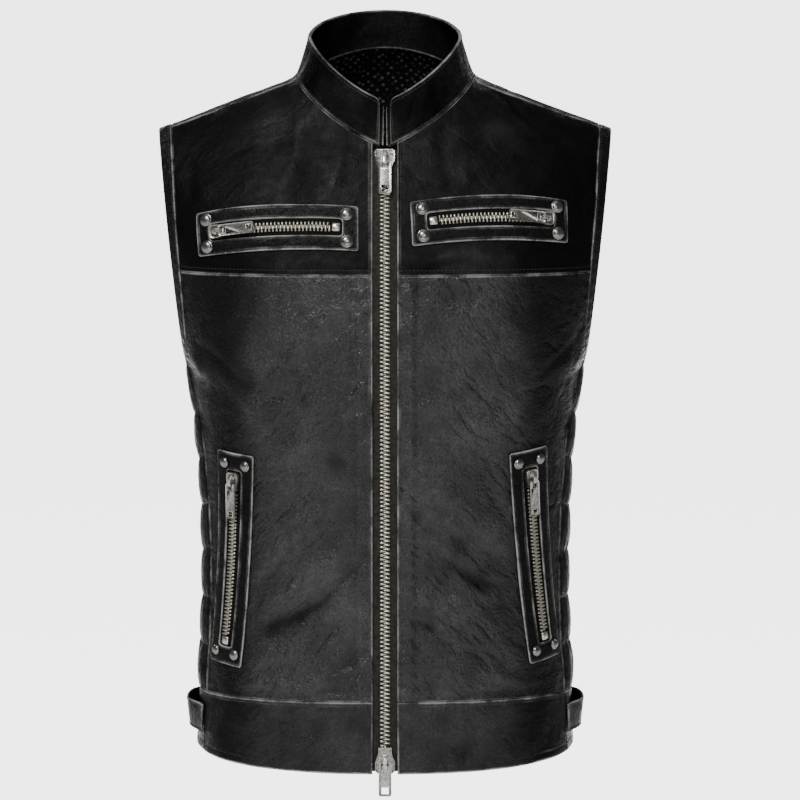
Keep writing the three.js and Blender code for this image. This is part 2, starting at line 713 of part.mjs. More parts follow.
// Fronts, sides and back
const yoke = yokeGrid();
const lowerFront = lowerFrontGrid();
const sidePanel = sidePanelGrid();
for (const { name, sign } of SIDES) {
  add(`front_yoke_${name}`, clothWall(sided(yoke, sign)), leather());
  add(`front_lower_${name}`, clothWall(sided(lowerFront, sign)), leather());
  add(`side_panel_${name}`, clothWall(sided(sidePanel, sign), { relief: quilt }), leather());
}
const halfBack = halfBackGrid();
const backRows = halfBack.map((row) => [
  ...row.slice(1).reverse().map(({ p }) => onCloth(mirrored(p))),
  ...row,
]);
add("back", clothWall(backRows), leather());

// The lining shows inside the back, below the collar. It keeps the back's own points, but every other
// row of them along the side seams.
const liningRows = backRows
  .filter((_, j) => j > SIDE_ROWS - 4 || j % 2 === 0)
  .map((row) => row.slice(1, -1));
add("lining_back", clothWall(liningRows, { thickness: 1, proud: -LEATHER - 2 * SEAM_GAP }), mesh());

// The collar: one band that stands on the neck line, with the panels' own points along its foot.
function collarShares(frontX) {
  const start = shareWhere((t) => neckLine(t).x > frontX);
  const front = steps(NECK_COLUMNS.front, (v) => neckAtZip + (seamOnNeck - neckAtZip) * v);
  const back = steps(NECK_COLUMNS.back, (v) => seamOnNeck + (1 - seamOnNeck) * v);
  return [start, ...front, ...back.slice(1)];
}
function collarStations(frontX) {
  const shares = collarShares(frontX);
  const topStart = shareWhere((t) => collarTop(t).x > frontX);
  return shares.map((share) => ({
    base: neckLine(share),
    top: collarTop(topStart + ((1 - topStart) * (share - shares[0])) / (1 - shares[0])),
  }));
}

// Across the collar: shares of its height and depths from its outer face.
const COLLAR_PROFILE = [
  [0, 0],
  [0.35, 0],
  [0.7, 0],
  [0.97, 0],
  [1, 1.0],
  [1, COLLAR_THICKNESS - 1.0],
  [0.97, COLLAR_THICKNESS],
  [0.5, COLLAR_THICKNESS],
  [0, COLLAR_THICKNESS],
];
function collarRing({ base, top }, profile = COLLAR_PROFILE) {
  const up = top.clone().sub(base);
  const out = new THREE.Vector3(base.x + top.x, base.y + top.y, 0).normalize();
  const side = new THREE.Vector3().crossVectors(up, out).normalize();
  const outward = new THREE.Vector3().crossVectors(side, up).normalize();
  const lift = (2 * SEAM_GAP) / up.length();
  const hollow = (share) => -COLLAR_HOLLOW * 4 * share * (1 - share);
  return profile.map(([share, depth]) =>
    base
      .clone()
      .addScaledVector(up, lift + share * (1 - lift))
      .addScaledVector(outward, hollow(share) - depth),
  );
}
// Triangles that fill a ring whose two long sides lie opposite each other.
function ladder(size) {
  const triangles = [];
  for (let low = 0, high = size - 1; high - low > 1; low++, high--) {
    triangles.push([low, low + 1, high]);
    if (high - low > 2) triangles.push([low + 1, high - 1, high]);
  }
  return triangles;
}
const halfCollar = collarStations(COLLAR_FRONT_X).map((station) => collarRing(station));
const collarRings = [...halfCollar, ...halfCollar.slice(0, -1).reverse().map((ring) => ring.map(mirrored))];
add("collar", bar(collarRings, false, ladder(COLLAR_PROFILE.length)), leather());

// The facings' edges, which show between the collar's two fronts.
const facingDepth = COLLAR_THICKNESS + FACING.gap;
const FACING_PROFILE = [
  [0, facingDepth],
  [FACING.top / 2, facingDepth],
  [FACING.top, facingDepth],
  [FACING.top, facingDepth + FACING.thickness],
  [FACING.top / 2, facingDepth + FACING.thickness],
  [0, facingDepth + FACING.thickness],
];
for (const { name, sign } of SIDES) {
  const stations = collarStations(FACING.frontX).slice(0, 3);
  const rings = stations.map((station) => {
    const ring = collarRing(station, FACING_PROFILE);
    return sign > 0 ? ring : ring.map(mirrored);
  });
  add(`collar_facing_${name}`, bar(rings, false, ladder(FACING_PROFILE.length)), leather());
}

// The armhole bindings: folded strips whose outer edge is round.
const BINDING_PROFILE = [
  [-BINDING_WIDTH, 0.5],
  [-1.6, 0.5],
  [-0.2, -0.6],
  [0, 0.5 - BINDING_THICKNESS / 2],
  [-0.4, 1.2 - BINDING_THICKNESS],
  [-1.8, 0.5 - BINDING_THICKNESS],
  [-BINDING_WIDTH, 0.5 - BINDING_THICKNESS],
];
const bindingRings = ARMHOLE_FRAMES.map(({ p, normal }, k) => {
  const foot = BINDING_LINE[k];
  const across = p.clone().sub(foot).normalize();
  const up = normal.clone().addScaledVector(across, -normal.dot(across)).normalize();
  const footUp = onCloth(foot).normal;
  return BINDING_PROFILE.map(([u, w]) =>
    u === -BINDING_WIDTH
      ? foot.clone().addScaledVector(across, SEAM_GAP).addScaledVector(footUp, w)
      : p.clone().addScaledVector(across, u).addScaledVector(up, w),
  );
});
for (const { name, sign } of SIDES) {
  const rings = bindingRings.map((ring) => (sign > 0 ? ring : ring.map(mirrored)));
  add(`armhole_binding_${name}`, bar(rings, true), leather());
}

// The waistband: two fronts and a back that runs from side seam to side seam. The turn is the
// direction from the middle as seen from above, from the front round by the wearer's left.
function bandPoint(turn, zAt) {
  const ringPoint = (z) => {
    const spoke = (reach) => new THREE.Vector3(Math.sin(turn) * reach, -Math.cos(turn) * reach, z);
    const reach = shareWhere((r) => torso(...spoke(r).toArray()) > 0, 0, 300);
    return spoke(reach);
  };
  return onCloth(ringPoint(zAt(ringPoint(BAND_TOP_Z).y)));
}
const bandTopEdge = (y) => bandTopZ(y) - HALF_GAP;
function bandGrid(from, to, columns, rows = 2) {
  return steps(rows, (v) =>
    steps(columns, (u) => bandPoint(from + (to - from) * u, (y) => bandTopEdge(y) * (1 - v) + hemZ(y) * v)),
  );
}
const bandWall = (grid) => clothWall(grid, { thickness: BAND_THICKNESS, proud: BAND_PROUD });
const bandTurn = (test) => shareWhere((turn) => test(bandPoint(turn, bandTopEdge).p), 0, Math.PI);
const bandStart = bandTurn((p) => p.x > FRONT_EDGE_X);
const bandSeam = bandTurn((p) => p.y > column(SIDE_SEAM, "front", BAND_TOP_Z));
const seamTurn = 0.0012; // half the seam's gap, as a turn
for (const { name, sign } of SIDES) {
  add(
    `waistband_front_${name}`,
    bandWall(bandGrid(sign * bandStart, sign * (bandSeam - seamTurn), 10)),
    leather(),
  );
}
const backFrom = bandSeam + seamTurn;
add("waistband_back", bandWall(bandGrid(backFrom, 2 * Math.PI - backFrom, 26)), leather());

// Strap on each side of the waistband: sewn down at both ends and bowed between them.
function strapGrid(sign) {
  const start = column(SIDE_SEAM, "front", STRAP.topZ) + STRAP.frontInset;
  const end = column(SIDE_SEAM, "back", STRAP.topZ) + STRAP.backReach;
  return steps(2, (v) =>
    steps(14, (u) => {
      const y = start + (end - start) * u;
      const z = STRAP.topZ - STRAP.height * v;
      const fromEnd = Math.min(y - start, end - y) / STRAP.sewn;
      const most = STRAP.bowTop + (STRAP.bowBottom - STRAP.bowTop) * v;
      const bow = most * THREE.MathUtils.smoothstep(fromEnd, 0.25, 2.1);
      const { p, normal } = onCloth(sideAt(y, z));
      p.addScaledVector(normal, BAND_PROUD + SEAM_GAP + STRAP.thickness + bow);
      return sign > 0 ? { p, normal } : { p: mirrored(p), normal: mirrored(normal) };
    }),
  );
}
for (const { name, sign } of SIDES) {
  add(`side_strap_${name}`, clothWall(strapGrid(sign), { thickness: STRAP.thickness }), leather());
}

// The main zip: its tapes lie under the front edges, with the chain between them.
function zipFrames(from, to, count) {
  return steps(count, (v) => {
    const z = from + (to - from) * v;
    const { p, normal } = onCloth(clothAt(0, z, true));
    return { p, normal, across: new THREE.Vector3(1, 0, 0) };
  });
}
const zipTopZ = -NECK_FRONT_DROP - 1;
const hemFrontZ = HEM_SIDE_Z - HEM_FRONT_DIP;
const tapeTop = -BAND_THICKNESS + BAND_PROUD - SEAM_GAP;
const tapeProfile = (sign) => [
  [sign * (CHAIN_HALF + SEAM_GAP), tapeTop],
  [sign * TAPE_HALF, tapeTop],
  [sign * TAPE_HALF, tapeTop - TAPE_THICKNESS],
  [sign * (CHAIN_HALF + SEAM_GAP), tapeTop - TAPE_THICKNESS],
];
for (const { name, sign } of SIDES) {
  add(`zip_tape_${name}`, profileBar(zipFrames(zipTopZ - 2, hemFrontZ + 3, 20), tapeProfile(sign)), tape());
}
const chainTop = tapeTop + 1.3;
const sliderTopZ = zipTopZ - 1;
const sliderBottomZ = hemFrontZ + 2;
const chainFrom = sliderTopZ - SLIDER.length - SEAM_GAP;
const chainTo = sliderBottomZ + SLIDER.length + SEAM_GAP;
add(
  "zip_chain",
  profileBar(zipFrames(chainFrom, chainTo, 24), [
    [-CHAIN_HALF, chainTop - CHAIN_DEPTH],
    [-CHAIN_HALF, chainTop],
    [CHAIN_HALF, chainTop],
    [CHAIN_HALF, chainTop - CHAIN_DEPTH],
  ]),
  metal(),
);

// A frame on the cloth: along the zip towards the slider's nose, across it and outwards.
function zipFrame(origin, along, normal) {
  const across = new THREE.Vector3().crossVectors(normal, along).normalize();
  const nose = new THREE.Vector3().crossVectors(across, normal).normalize();
  return new THREE.Matrix4().makeBasis(nose, across, normal).setPosition(origin);
}

// A slider, nose along +X and face along +Z, with its bridge. The bridge starts at the body's face.
function sliderGeometry(s) {
  const outline = new THREE.Shape([
    new THREE.Vector2(s.length / 2, -s.wide / 2 + SLIDER_CORNER),
    new THREE.Vector2(s.length / 2, s.wide / 2 - SLIDER_CORNER),
    new THREE.Vector2(s.length / 2 - SLIDER_CORNER, s.wide / 2),
    new THREE.Vector2(s.length * SHOULDER_END, s.wide / 2),
    new THREE.Vector2(-s.length * WAIST_START, s.narrow / 2),
    new THREE.Vector2(-s.length / 2, s.narrow / 2),
    new THREE.Vector2(-s.length / 2, -s.narrow / 2),
    new THREE.Vector2(-s.length * WAIST_START, -s.narrow / 2),
    new THREE.Vector2(s.length * SHOULDER_END, -s.wide / 2),
    new THREE.Vector2(s.length / 2 - SLIDER_CORNER, -s.wide / 2),
  ]);
  const body = new THREE.ExtrudeGeometry(outline, { depth: s.body, bevelEnabled: false });
  const b = BRIDGE;
  const arch = new THREE.Shape();
  const outer = b.length / 2;
  const inner = outer - b.wall;
  arch.moveTo(-outer, -0.5);
  arch.lineTo(-outer, b.gap - 0.6);
  arch.lineTo(-outer + 1.2, b.gap + b.wall);
  arch.lineTo(outer - 1.2, b.gap + b.wall);
  arch.lineTo(outer, b.gap - 0.6);
  arch.lineTo(outer, -0.5);
  arch.lineTo(inner, -0.5);
  arch.lineTo(inner, b.gap);
  arch.lineTo(-inner, b.gap);
  arch.lineTo(-inner, -0.5);
  const bridge = new THREE.ExtrudeGeometry(arch, { depth: b.width, bevelEnabled: false });
  bridge.rotateX(Math.PI / 2);
  bridge.translate(0, b.width / 2, s.body);
  return geometryFrom(solidOf(body).add(solidOf(bridge)));
}

// A pull tab whose bar lies on the origin, hanging towards -X, with its face along +Z.
function pullGeometry(t) {
  const plate = new THREE.Shape([
    new THREE.Vector2(t.bar / 2, -t.width / 2 + t.corner),
    new THREE.Vector2(t.bar / 2, t.width / 2 - t.corner),
    new THREE.Vector2(-t.corner, t.width / 2),
    new THREE.Vector2(-t.length + t.corner, t.width / 2),
    new THREE.Vector2(-t.length, t.width / 2 - t.corner),
    new THREE.Vector2(-t.length, -t.width / 2 + t.corner),
    new THREE.Vector2(-t.length + t.corner, -t.width / 2),
    new THREE.Vector2(-t.corner, -t.width / 2),
  ]);
  const hole = (x0, x1, half) =>
    new THREE.Path([
      new THREE.Vector2(x0, -half),
      new THREE.Vector2(x0, half),
      new THREE.Vector2(x1, half),
      new THREE.Vector2(x1, -half),
    ]);
  plate.holes.push(hole(-t.bar / 2, -t.eyeReach, t.eyeWidth / 2));
  plate.holes.push(hole(-t.length + t.rim + t.window, -t.length + t.rim, t.window / 2));
  const geometry = new THREE.ExtrudeGeometry(plate, { depth: t.thickness, bevelEnabled: false });
  geometry.translate(0, 0, -t.thickness / 2);
  return geometryFrom(solidOf(geometry));
}

// Places a slider with its face raised by `height` above the cloth, and its tab. The tab hangs to the
// side given by `hangs`: -1 over the chain, 1 over the nose.
function addSlider(name, place, s, t, hangs) {
  const slider = add(`${name}_slider`, sliderGeometry(s), metal());
  slider.applyMatrix4(place);
  const pull = add(`${name}_pull`, pullGeometry(t), metal());
  const barAt = hangs * (BRIDGE.length / 2 - BRIDGE.wall - t.bar / 2 - 0.35);
  const seat = new THREE.Matrix4().makeTranslation(barAt, 0, s.body + BRIDGE.gap / 2);
  if (hangs > 0) seat.multiply(new THREE.Matrix4().makeRotationZ(Math.PI));
  seat.multiply(new THREE.Matrix4().makeRotationY(-PULL_REST_TILT));
  pull.applyMatrix4(place.clone().multiply(seat));
}

function mainSliderFrame(z, noseUp) {
  const { p, normal } = onCloth(clothAt(0, z, true));
  const above = onCloth(clothAt(0, z + 5, true)).p;
  const along = above.sub(p).multiplyScalar(noseUp ? 1 : -1).normalize();
  return zipFrame(p.clone().addScaledVector(normal, tapeTop + SEAM_GAP), along, normal);
}
addSlider("zip_top", mainSliderFrame(sliderTopZ - SLIDER.length / 2, true), SLIDER, PULL, -1);
addSlider("zip_bottom", mainSliderFrame(sliderBottomZ + SLIDER.length / 2, false), SLIDER, PULL, 1);

// Points on a pocket's patch are given by u along it and v across it.
function pocketPlane(pocket) {
  const { p, normal } = onCloth(clothAt(pocket.x, pocket.z, true));
  const level = new THREE.Vector3().crossVectors(new THREE.Vector3(0, 0, 1), normal).normalize();
  const along = level.applyAxisAngle(normal, pocket.turn);
  const up = new THREE.Vector3().crossVectors(normal, along).normalize();
  return (u, v, raise) => {
    const bowed = v + pocket.bow * (1 - (u / (pocket.width / 2)) ** 2);
    return onCloth(p.clone().addScaledVector(along, u).addScaledVector(up, bowed), raise);
  };
}

// The patch is a frame of leather round the window that shows the zip.
function addPatch(pocket, place) {
  const long = Math.round(pocket.width / 17);
  const around = (width, height) => {
    const [a, b] = [width / 2, height / 2];
    const side = (f) => steps(long, f).slice(0, -1);
    const end = (f) => steps(2, f).slice(0, -1);
    return [
      ...side((t) => [-a + 2 * a * t, -b]),
      ...end((t) => [a, -b + 2 * b * t]),
      ...side((t) => [a - 2 * a * t, b]),
      ...end((t) => [-a, b - 2 * b * t]),
    ];
  };
  const edge = around(pocket.width, pocket.height);
  const hole = around(pocket.width - 2 * pocket.windowMargin, pocket.windowHeight);
  const at = (raise) => edge.map((e, k) => [e, hole[k]].map(([u, v]) => place(u, v, raise).p));
  const frame = wall(at(PATCH.clearance + PATCH.thickness), at(PATCH.clearance), true);
  add(`${pocket.name}_patch`, frame, leather());
}

function addRivets(pocket, place) {
  const { radius, height } = pocket.rivet;
  const dome = steps(3, (t) => {
    const turn = (t * Math.PI) / 2;
    const rise = RIVET_FLANGE + (height - RIVET_FLANGE) * Math.sin(turn);
    return new THREE.Vector2(radius * Math.cos(turn), rise);
  });
  dome[dome.length - 1].x = 0;
  const profile = [new THREE.Vector2(0, 0), new THREE.Vector2(radius, 0), ...dome];
  const corners = [-1, 1].flatMap((end) => [-1, 1].map((edge) => [end, edge]));
  corners.forEach(([end, edge], k) => {
    const u = end * (pocket.width / 2 - RIVET_INSET);
    const seat = place(u, edge * pocket.rivetRise, PATCH.clearance + PATCH.thickness + SEAM_GAP);
    const turned = geometryFrom(solidOf(new THREE.LatheGeometry(profile, RIVET_SIDES)));
    const rivet = add(`${pocket.name}_rivet_${k + 1}`, turned, metal());
    rivet.quaternion.setFromUnitVectors(new THREE.Vector3(0, 1, 0), seat.normal);
    rivet.position.copy(seat.p);
  });
}

// The zip of a pocket: its tape fills the window, with the chain raised along the middle.
function addPocketZip(pocket, place) {
  const half = pocket.width / 2 - pocket.windowMargin - 2 * SEAM_GAP;
  const stations = steps(8, (t) => {
    const u = -half + 2 * half * t;
    const { p, normal } = place(u, 0, SEAM_GAP);
    const beside = place(u, 3, SEAM_GAP).p;
    return { p, normal, across: beside.sub(p).normalize() };
  });
  const wide = pocket.windowHeight / 2 - 2 * SEAM_GAP;
  const s = SMALL_SLIDER;
  const tapeProfile = [
    [-wide, 0],
    [wide, 0],
    [wide, TAPE_THICKNESS],
    [-wide, TAPE_THICKNESS],
  ];
  add(`${pocket.name}_zip`, profileBar(stations, tapeProfile), tape());
  const seat = TAPE_THICKNESS + 2 * SEAM_GAP;
  const u = half - s.length / 2 - 1;
  const { p, normal } = place(u, 0, seat);
  const towards = place(u + 4, 0, seat).p;
  addSlider(pocket.name, zipFrame(p, towards.sub(p).normalize(), normal), s, SMALL_PULL, -1);
}

for (const pocket of POCKETS) {
  const place = pocketPlane(pocket);
  addPatch(pocket, place);
  addRivets(pocket, place);
  addPocketZip(pocket, place);
}

export default vest;
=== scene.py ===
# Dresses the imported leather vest: leather panels with seams, creases and rubbed edges, zips with
# their teeth, sliders and tabs, domed rivets and the mesh lining, on a pale floor in soft light.
# Sizes are in millimetres until a mesh is made. The front faces -Y and the wearer's left is +X.
import math

import bmesh
import bpy
import numpy as np
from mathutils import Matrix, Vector


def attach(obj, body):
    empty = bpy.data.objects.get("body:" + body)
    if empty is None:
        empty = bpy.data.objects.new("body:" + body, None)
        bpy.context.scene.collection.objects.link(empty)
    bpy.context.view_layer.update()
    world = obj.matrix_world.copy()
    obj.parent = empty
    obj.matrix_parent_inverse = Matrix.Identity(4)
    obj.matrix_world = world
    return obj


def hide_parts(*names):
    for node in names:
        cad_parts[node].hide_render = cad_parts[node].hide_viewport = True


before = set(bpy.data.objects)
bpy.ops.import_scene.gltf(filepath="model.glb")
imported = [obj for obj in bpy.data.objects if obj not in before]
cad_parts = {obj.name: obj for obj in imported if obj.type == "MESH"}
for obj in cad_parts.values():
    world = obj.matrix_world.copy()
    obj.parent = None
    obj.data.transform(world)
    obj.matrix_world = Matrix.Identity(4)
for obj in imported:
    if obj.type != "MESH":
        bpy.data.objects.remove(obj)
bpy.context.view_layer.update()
MM = 0.001

# Form of the torso: height, half width, depth in front, depth behind
TORSO = np.array([
    [70, 252, 40, 106],
    [0, 248, 44, 106],
    [-46, 242, 60, 109],
    [-70, 236, 73, 112],
    [-110, 226, 95, 116],
    [-165, 216, 113, 118],
    [-215, 204.5, 120, 114],
    [-240, 197, 121.5, 110],
    [-262, 190, 122, 106],
    [-285, 184.5, 121, 102],
    [-320, 179.5, 118.5, 97],
    [-380, 174.5, 114, 89],
    [-450, 172.5, 111, 85],
    [-520, 174, 111.5, 87],
    [-585, 178, 115, 92],
    [-650, 180, 118, 96],
])
HALF, FRONT_DEPTH, BACK_DEPTH = 1, 2, 3
SECTION_POWER = 2.45
NECK_HALF = 84
SHOULDER_SLOPE = 0.375
NECK_SLOPE = 1.41
NECK_BEND = 0.0084
NECK_BLEND = 3
NECK_SOFTENING = 0.3
SHOULDER_ROUND = 110
SEAM_FORWARD = 2.4

# Edges and seams of the panels
SEAM_GAP = 0.3
HALF_GAP = SEAM_GAP / 2
LEATHER = 2.0
FRONT_EDGE_X = 11.5
CHEST_SEAM_Z = -177
CHEST_SEAM_RISE = 1.5
BAND_TOP_Z = -580
BAND_TOP_RISE = 4.5
HEM_SIDE_Z = -634
HEM_FRONT_DIP = 10
HEM_BACK_DIP = 4
FRONT_REACH = 118
BAND_THICKNESS = 3.0
BAND_PROUD = 0.6
NECK_FRONT_DROP = 59.5
NECK_FRONT_POWER = 1.3
NECK_BACK_RISE = 26
COLLAR = {"half": 72, "front": 61, "back": 68, "side_z": 39, "front_z": -17, "back_z": 60}
COLLAR_POWER = 1.3
COLLAR_THICKNESS = 3.2
COLLAR_FRONT_X = 5.2
COLLAR_HOLLOW = 1.6
COLLAR_HEIGHT = 54
COLLAR_CORNER = 5
INNER_HANG = 3  # by which the inner wall hangs over the seam of the neck
FACING_FRONT_X = 1.5
FACING_HEIGHT = 40
FACING_END = 0.17
FACING_TOP = 0.94
FACING_THICKNESS = 1.2
ARMHOLE_TOP_X = 213.5
ARMHOLE_TOP_Z = -46
ARMHOLE_LEAN = 0.109
BINDING_WIDTH = 12.5
BINDING_PROUD = 0.5
BINDING_ROUND = 1.7
BINDING_LEATHER = 1.2
BINDING_STITCH = 2.6
BINDING_LEG_POINTS = 12
BINDING_TURN_POINTS = 9
BINDING_EVERY = 2  # of the armhole's points, for the binding's mesh
# Height, front and back place of the side seams
SIDE_SEAM = np.array([
    [-250, -30, 34],
    [-300, -41, 42],
    [-380, -45, 44],
    [-480, -46, 44],
    [-590, -46, 46],
    [-650, -46, 48],
])
QUILT_CHANNELS = 7
QUILT_PUFF = 3.6

# Soft folds: x, z, slope as seen from the front, half length, half width, height (minus for a trough).
# Those of the front are the solids' own.
FOLDS = np.array([
    [-79, -421, 0.91, 44, 11, 2.4],
    [-71, -461, 0.87, 56, 12, 3.0],
    [-98, -502, 0.9, 26, 12, -2.2],
    [-34, -515, 1.12, 32, 11, 2.2],
    [62, -385, -1.07, 66, 12, 2.6],
    [88, -432, -0.9, 40, 12, -1.8],
    [57, -487, -0.5, 40, 12, 2.4],
    [48, -549, -0.24, 36, 10, 1.6],
    [66, -253, 0.72, 34, 12, 1.8],
    [-168, -268, -0.5, 22, 9, 2.2],
    [172, -262, 0.6, 20, 9, 2.4],
    [108, -48, -0.9, 26, 9, 1.8],
    [150, -70, -0.3, 28, 10, 2.0],
    [-70, -92, 3.2, 40, 12, -2.0],
])
# Finer creases of the front, added here
CREASES = np.array([
    [-50, -470, 0.85, 40, 4.5, -2.2],
    [-92, -440, 0.95, 30, 4, -1.8],
    [-58, -497, 0.8, 34, 5, 1.8],
    [-30, -540, 0.9, 24, 5, -1.5],
    [-108, -540, 0.5, 26, 6, 1.5],
    [38, -405, -1.1, 34, 5, -1.8],
    [70, -415, -1.0, 30, 4, 1.5],
    [84, -462, -0.45, 28, 5, -1.8],
    [40, -508, -0.55, 30, 5, -1.7],
    [74, -520, -0.3, 26, 5, 1.5],
    [60, -262, 0.7, 26, 5, -1.7],
    [38, -298, 0.45, 24, 6, 1.5],
    [84, -320, -0.2, 30, 9, 1.3],
    [-62, -300, 0.3, 36, 12, 1.3],
    [-100, -350, 0.8, 30, 9, 1.2],
    [-46, -350, -0.6, 26, 8, -1.0],
    [118, -300, 1.4, 32, 8, 1.3],
    [-128, -300, -1.3, 32, 8, 1.3],
    [-150, -262, -0.8, 20, 4, -1.8],
    [158, -256, 0.8, 18, 4, -1.8],
    [-118, -480, 1.6, 40, 9, -1.5],
    [112, -500, -1.5, 40, 9, -1.3],
    [-106, -563, 0.1, 34, 5, 1.7],
    [116, -558, -0.2, 28, 5, 1.8],
    [-60, -568, 0.08, 30, 4, -1.3],
    [30, -570, -0.1, 22, 4, 1.2],
    [90, -572, 0.1, 22, 3.5, -1.3],
    [118, -22, -0.85, 30, 3.5, -1.8],
    [138, -44, -0.55, 18, 3.5, 1.7],
    [160, -58, -0.25, 18, 3.5, -1.7],
    [-38, -40, -0.4, 14, 4, 1.7],
    [34, -48, 0.5, 14, 4, 1.7],
    [-120, -46, 0.3, 44, 14, 1.5],
    [-86, -66, 4, 34, 5, 1.2],
    [-46, -84, 3.4, 24, 5, 1.3],
    [56, -70, -3.2, 28, 7, -1.3],
    [78, -84, -2.4, 24, 5, 0.9],
    [76, -158, 0.05, 60, 3.5, 1.7],
    [60, -166, 0.02, 44, 3, -1.2],
    [130, -160, 0.1, 30, 3.5, 1.0],
    [-90, -166, 0.05, 56, 3.5, 1.0],
    [-186, -120, 6, 40, 6, -1.2],
    [184, -120, -6, 40, 6, -1.2],
])
CREASE_BEND = 3
# Slow waves of the leather: length, height and number of each size
WAVES = ((85, 0.5, 9), (34, 0.36, 12), (15, 0.13, 14))
# Folds and creases of the back
BACK_FOLDS = np.array([
    [-60, -360, 0.75, 70, 14, 2.6],
    [-34, -420, 0.55, 60, 12, -2.2],
    [70, -370, -0.8, 66, 13, 2.4],
    [44, -440, -0.55, 58, 12, -2.0],
    [-92, -470, 0.4, 50, 12, 2.0],
    [96, -490, -0.4, 48, 12, 2.0],
    [0, -520, 0.06, 80, 9, 1.6],
    [-40, -556, 0.12, 60, 8, -1.6],
    [60, -548, -0.1, 50, 8, 1.4],
    [-120, -180, -1.6, 60, 12, 1.8],
    [124, -190, 1.5, 60, 12, 1.8],
    [-150, -250, -0.9, 34, 9, -1.6],
    [152, -246, 0.9, 34, 9, -1.6],
    [-110, -30, 0.4, 44, 10, 1.5],
    [112, -34, -0.45, 44, 10, 1.5],
    [0, -60, 0.03, 50, 14, -1.4],
    [-30, -130, 2.4, 50, 12, 1.2],
    [36, -150, -2.2, 50, 12, 1.2],
    [-70, -300, 0.9, 30, 5, -1.2],
    [80, -310, -0.9, 30, 5, -1.2],
    [-20, -480, 0.3, 36, 5, 1.1],
    [30, -400, -0.7, 36, 5, -1.1],
])

# Zips: chain, tape, slider seat and the teeth's sizes
CHAIN_HALF = 4.7
CHAIN_DEPTH = 3.2
TAPE_THICKNESS = 0.9
TAPE_HALF = 16.5
TAPE_TOP = -BAND_THICKNESS + BAND_PROUD - SEAM_GAP
SLIDER_LENGTH = 24
CHAIN_PROUD = 1.3
CHAIN_POINTS, TAPE_POINTS = 600, 400
TOOTH_PITCH = 3.9
TOOTH_SIDES = 8
POCKET_TOOTH_PITCH = 3.5
POCKET_CHAIN_HALF = 4.4
POCKET_CHAIN_DEPTH = 2.6
POCKET_CHAIN_LIFT, POCKET_TOOTH_LIFT = 0.9, 0.1
# A tooth along its length, from its foot to its nose: place, half width and half depth, as shares of
# the chain's half width, of the pitch and of the depth
TOOTH = [
    [1.0, 0.24, 0.36],
    [0.96, 0.30, 0.46],
    [0.42, 0.30, 0.50],
    [0.30, 0.25, 0.46],
    [-0.24, 0.245, 0.46],
    [-0.31, 0.19, 0.36],
]

# Zip pockets: the middle of the patch, its length, the turn of its axis and the axis's bow
PATCH_THICKNESS = 1.4
PATCH_CLEARANCE = 0.65
PATCH_CORNER = 2.5
PATCH_END_POINTS = 14
PATCH_SEAMS = [("left", 0.7, 1.3, 2.8, 0.12), ("right", 0.7, 1.1, 2.4, 0.12)]
WINDOW_CORNER = 3.0
WINDOW_ROOM = 0.6  # between the tape and the window's edge
RIVET_INSET = 11
RIVET_SIDES = 28
RIVET_RINGS = 6
RIVET_FLANGE = 0.62
RIVET_SHOULDER = 0.84
STOP_LENGTH = 7.5
STOP_INSET = 1.5
STOP_GAP = 2
STOP_LIFT = 1.1
STOP_SIDES = 8
# A stop along its length: place, half width, half height and lift
STOP_SHAPE = [(-3.7, 3.4, 1.0, 0), (-3.2, 4.2, 1.5, 0), (3.2, 4.2, 1.5, 0), (3.7, 3.4, 1.0, 0)]
SLIDER_ROOM = 18.5
CHEST = {"height": 43, "margin": 15, "window": 16, "rivet_rise": 13, "radius": 6, "dome": 3}
LOWER = {"height": 42, "margin": 17, "window": 16, "rivet_rise": 12, "radius": 5, "dome": 2.6}
POCKETS = {
    "chest_pocket_left": {"x": 98.5, "z": -126.5, "width": 150, "turn": 0.005, "bow": 3.4, **CHEST},
    "chest_pocket_right": {"x": -101.5, "z": -135, "width": 156, "turn": 3.198, "bow": -3, **CHEST},
    "lower_pocket_left": {"x": 140.5, "z": -442, "width": 204, "turn": 1.698, "bow": 1, **LOWER},
    "lower_pocket_right": {"x": -143, "z": -446, "width": 204, "turn": 1.485, "bow": -1, **LOWER},
}

# Side straps on the waistband
STRAP = {"top": -592, "height": 27, "thickness": 2.4, "inset": 2, "reach": 12, "sewn": 16}
STRAP_BOW = (8.5, 5)
STRAP_FLAT, STRAP_RISE = 0.25, 1.85  # its ends lie flat and then rise, in lengths of the sewn part

SIDES = {"left": 1, "right": -1}
SEED = 11

# Searches for a point of the torso: how often a span is halved, its length, and steps on to the form
HALVINGS = 40
CLOTH_REACH = 260.0
SPOKE_REACH = 300.0
ONTO_STEPS = 12

# Steps between the points of the meshes
PANEL_STEP = 2.4
QUILT_STEP = 2.2
BACK_STEP = 3.2
BAND_BACK_STEP = 2.8
COLLAR_STEP = 2.0
STRAP_STEP = 2.0
PATCH_STEP = 1.6


# The form

def column(table, k, z):
    """Column k of a table at heights z, on a smooth curve through its rows."""
    heights, values = table[:, 0], table[:, k]
    last = len(heights) - 1
    above = np.maximum(np.arange(last + 1) - 1, 0)
    below = np.minimum(np.arange(last + 1) + 1, last)
    slopes = (values[below] - values[above]) / (heights[below] - heights[above])
    z = np.clip(z, heights[-1], heights[0])
    i = np.clip(np.searchsorted(-heights, -z, side="right") - 1, 0, last - 1)
    span = heights[i + 1] - heights[i]
    t = (z - heights[i]) / span
    return (
        values[i] * (2 * t**3 - 3 * t**2 + 1)
        + slopes[i] * span * (t**3 - 2 * t**2 + t)
        + values[i + 1] * (3 * t**2 - 2 * t**3)
        + slopes[i + 1] * span * (t**3 - t**2)
    )


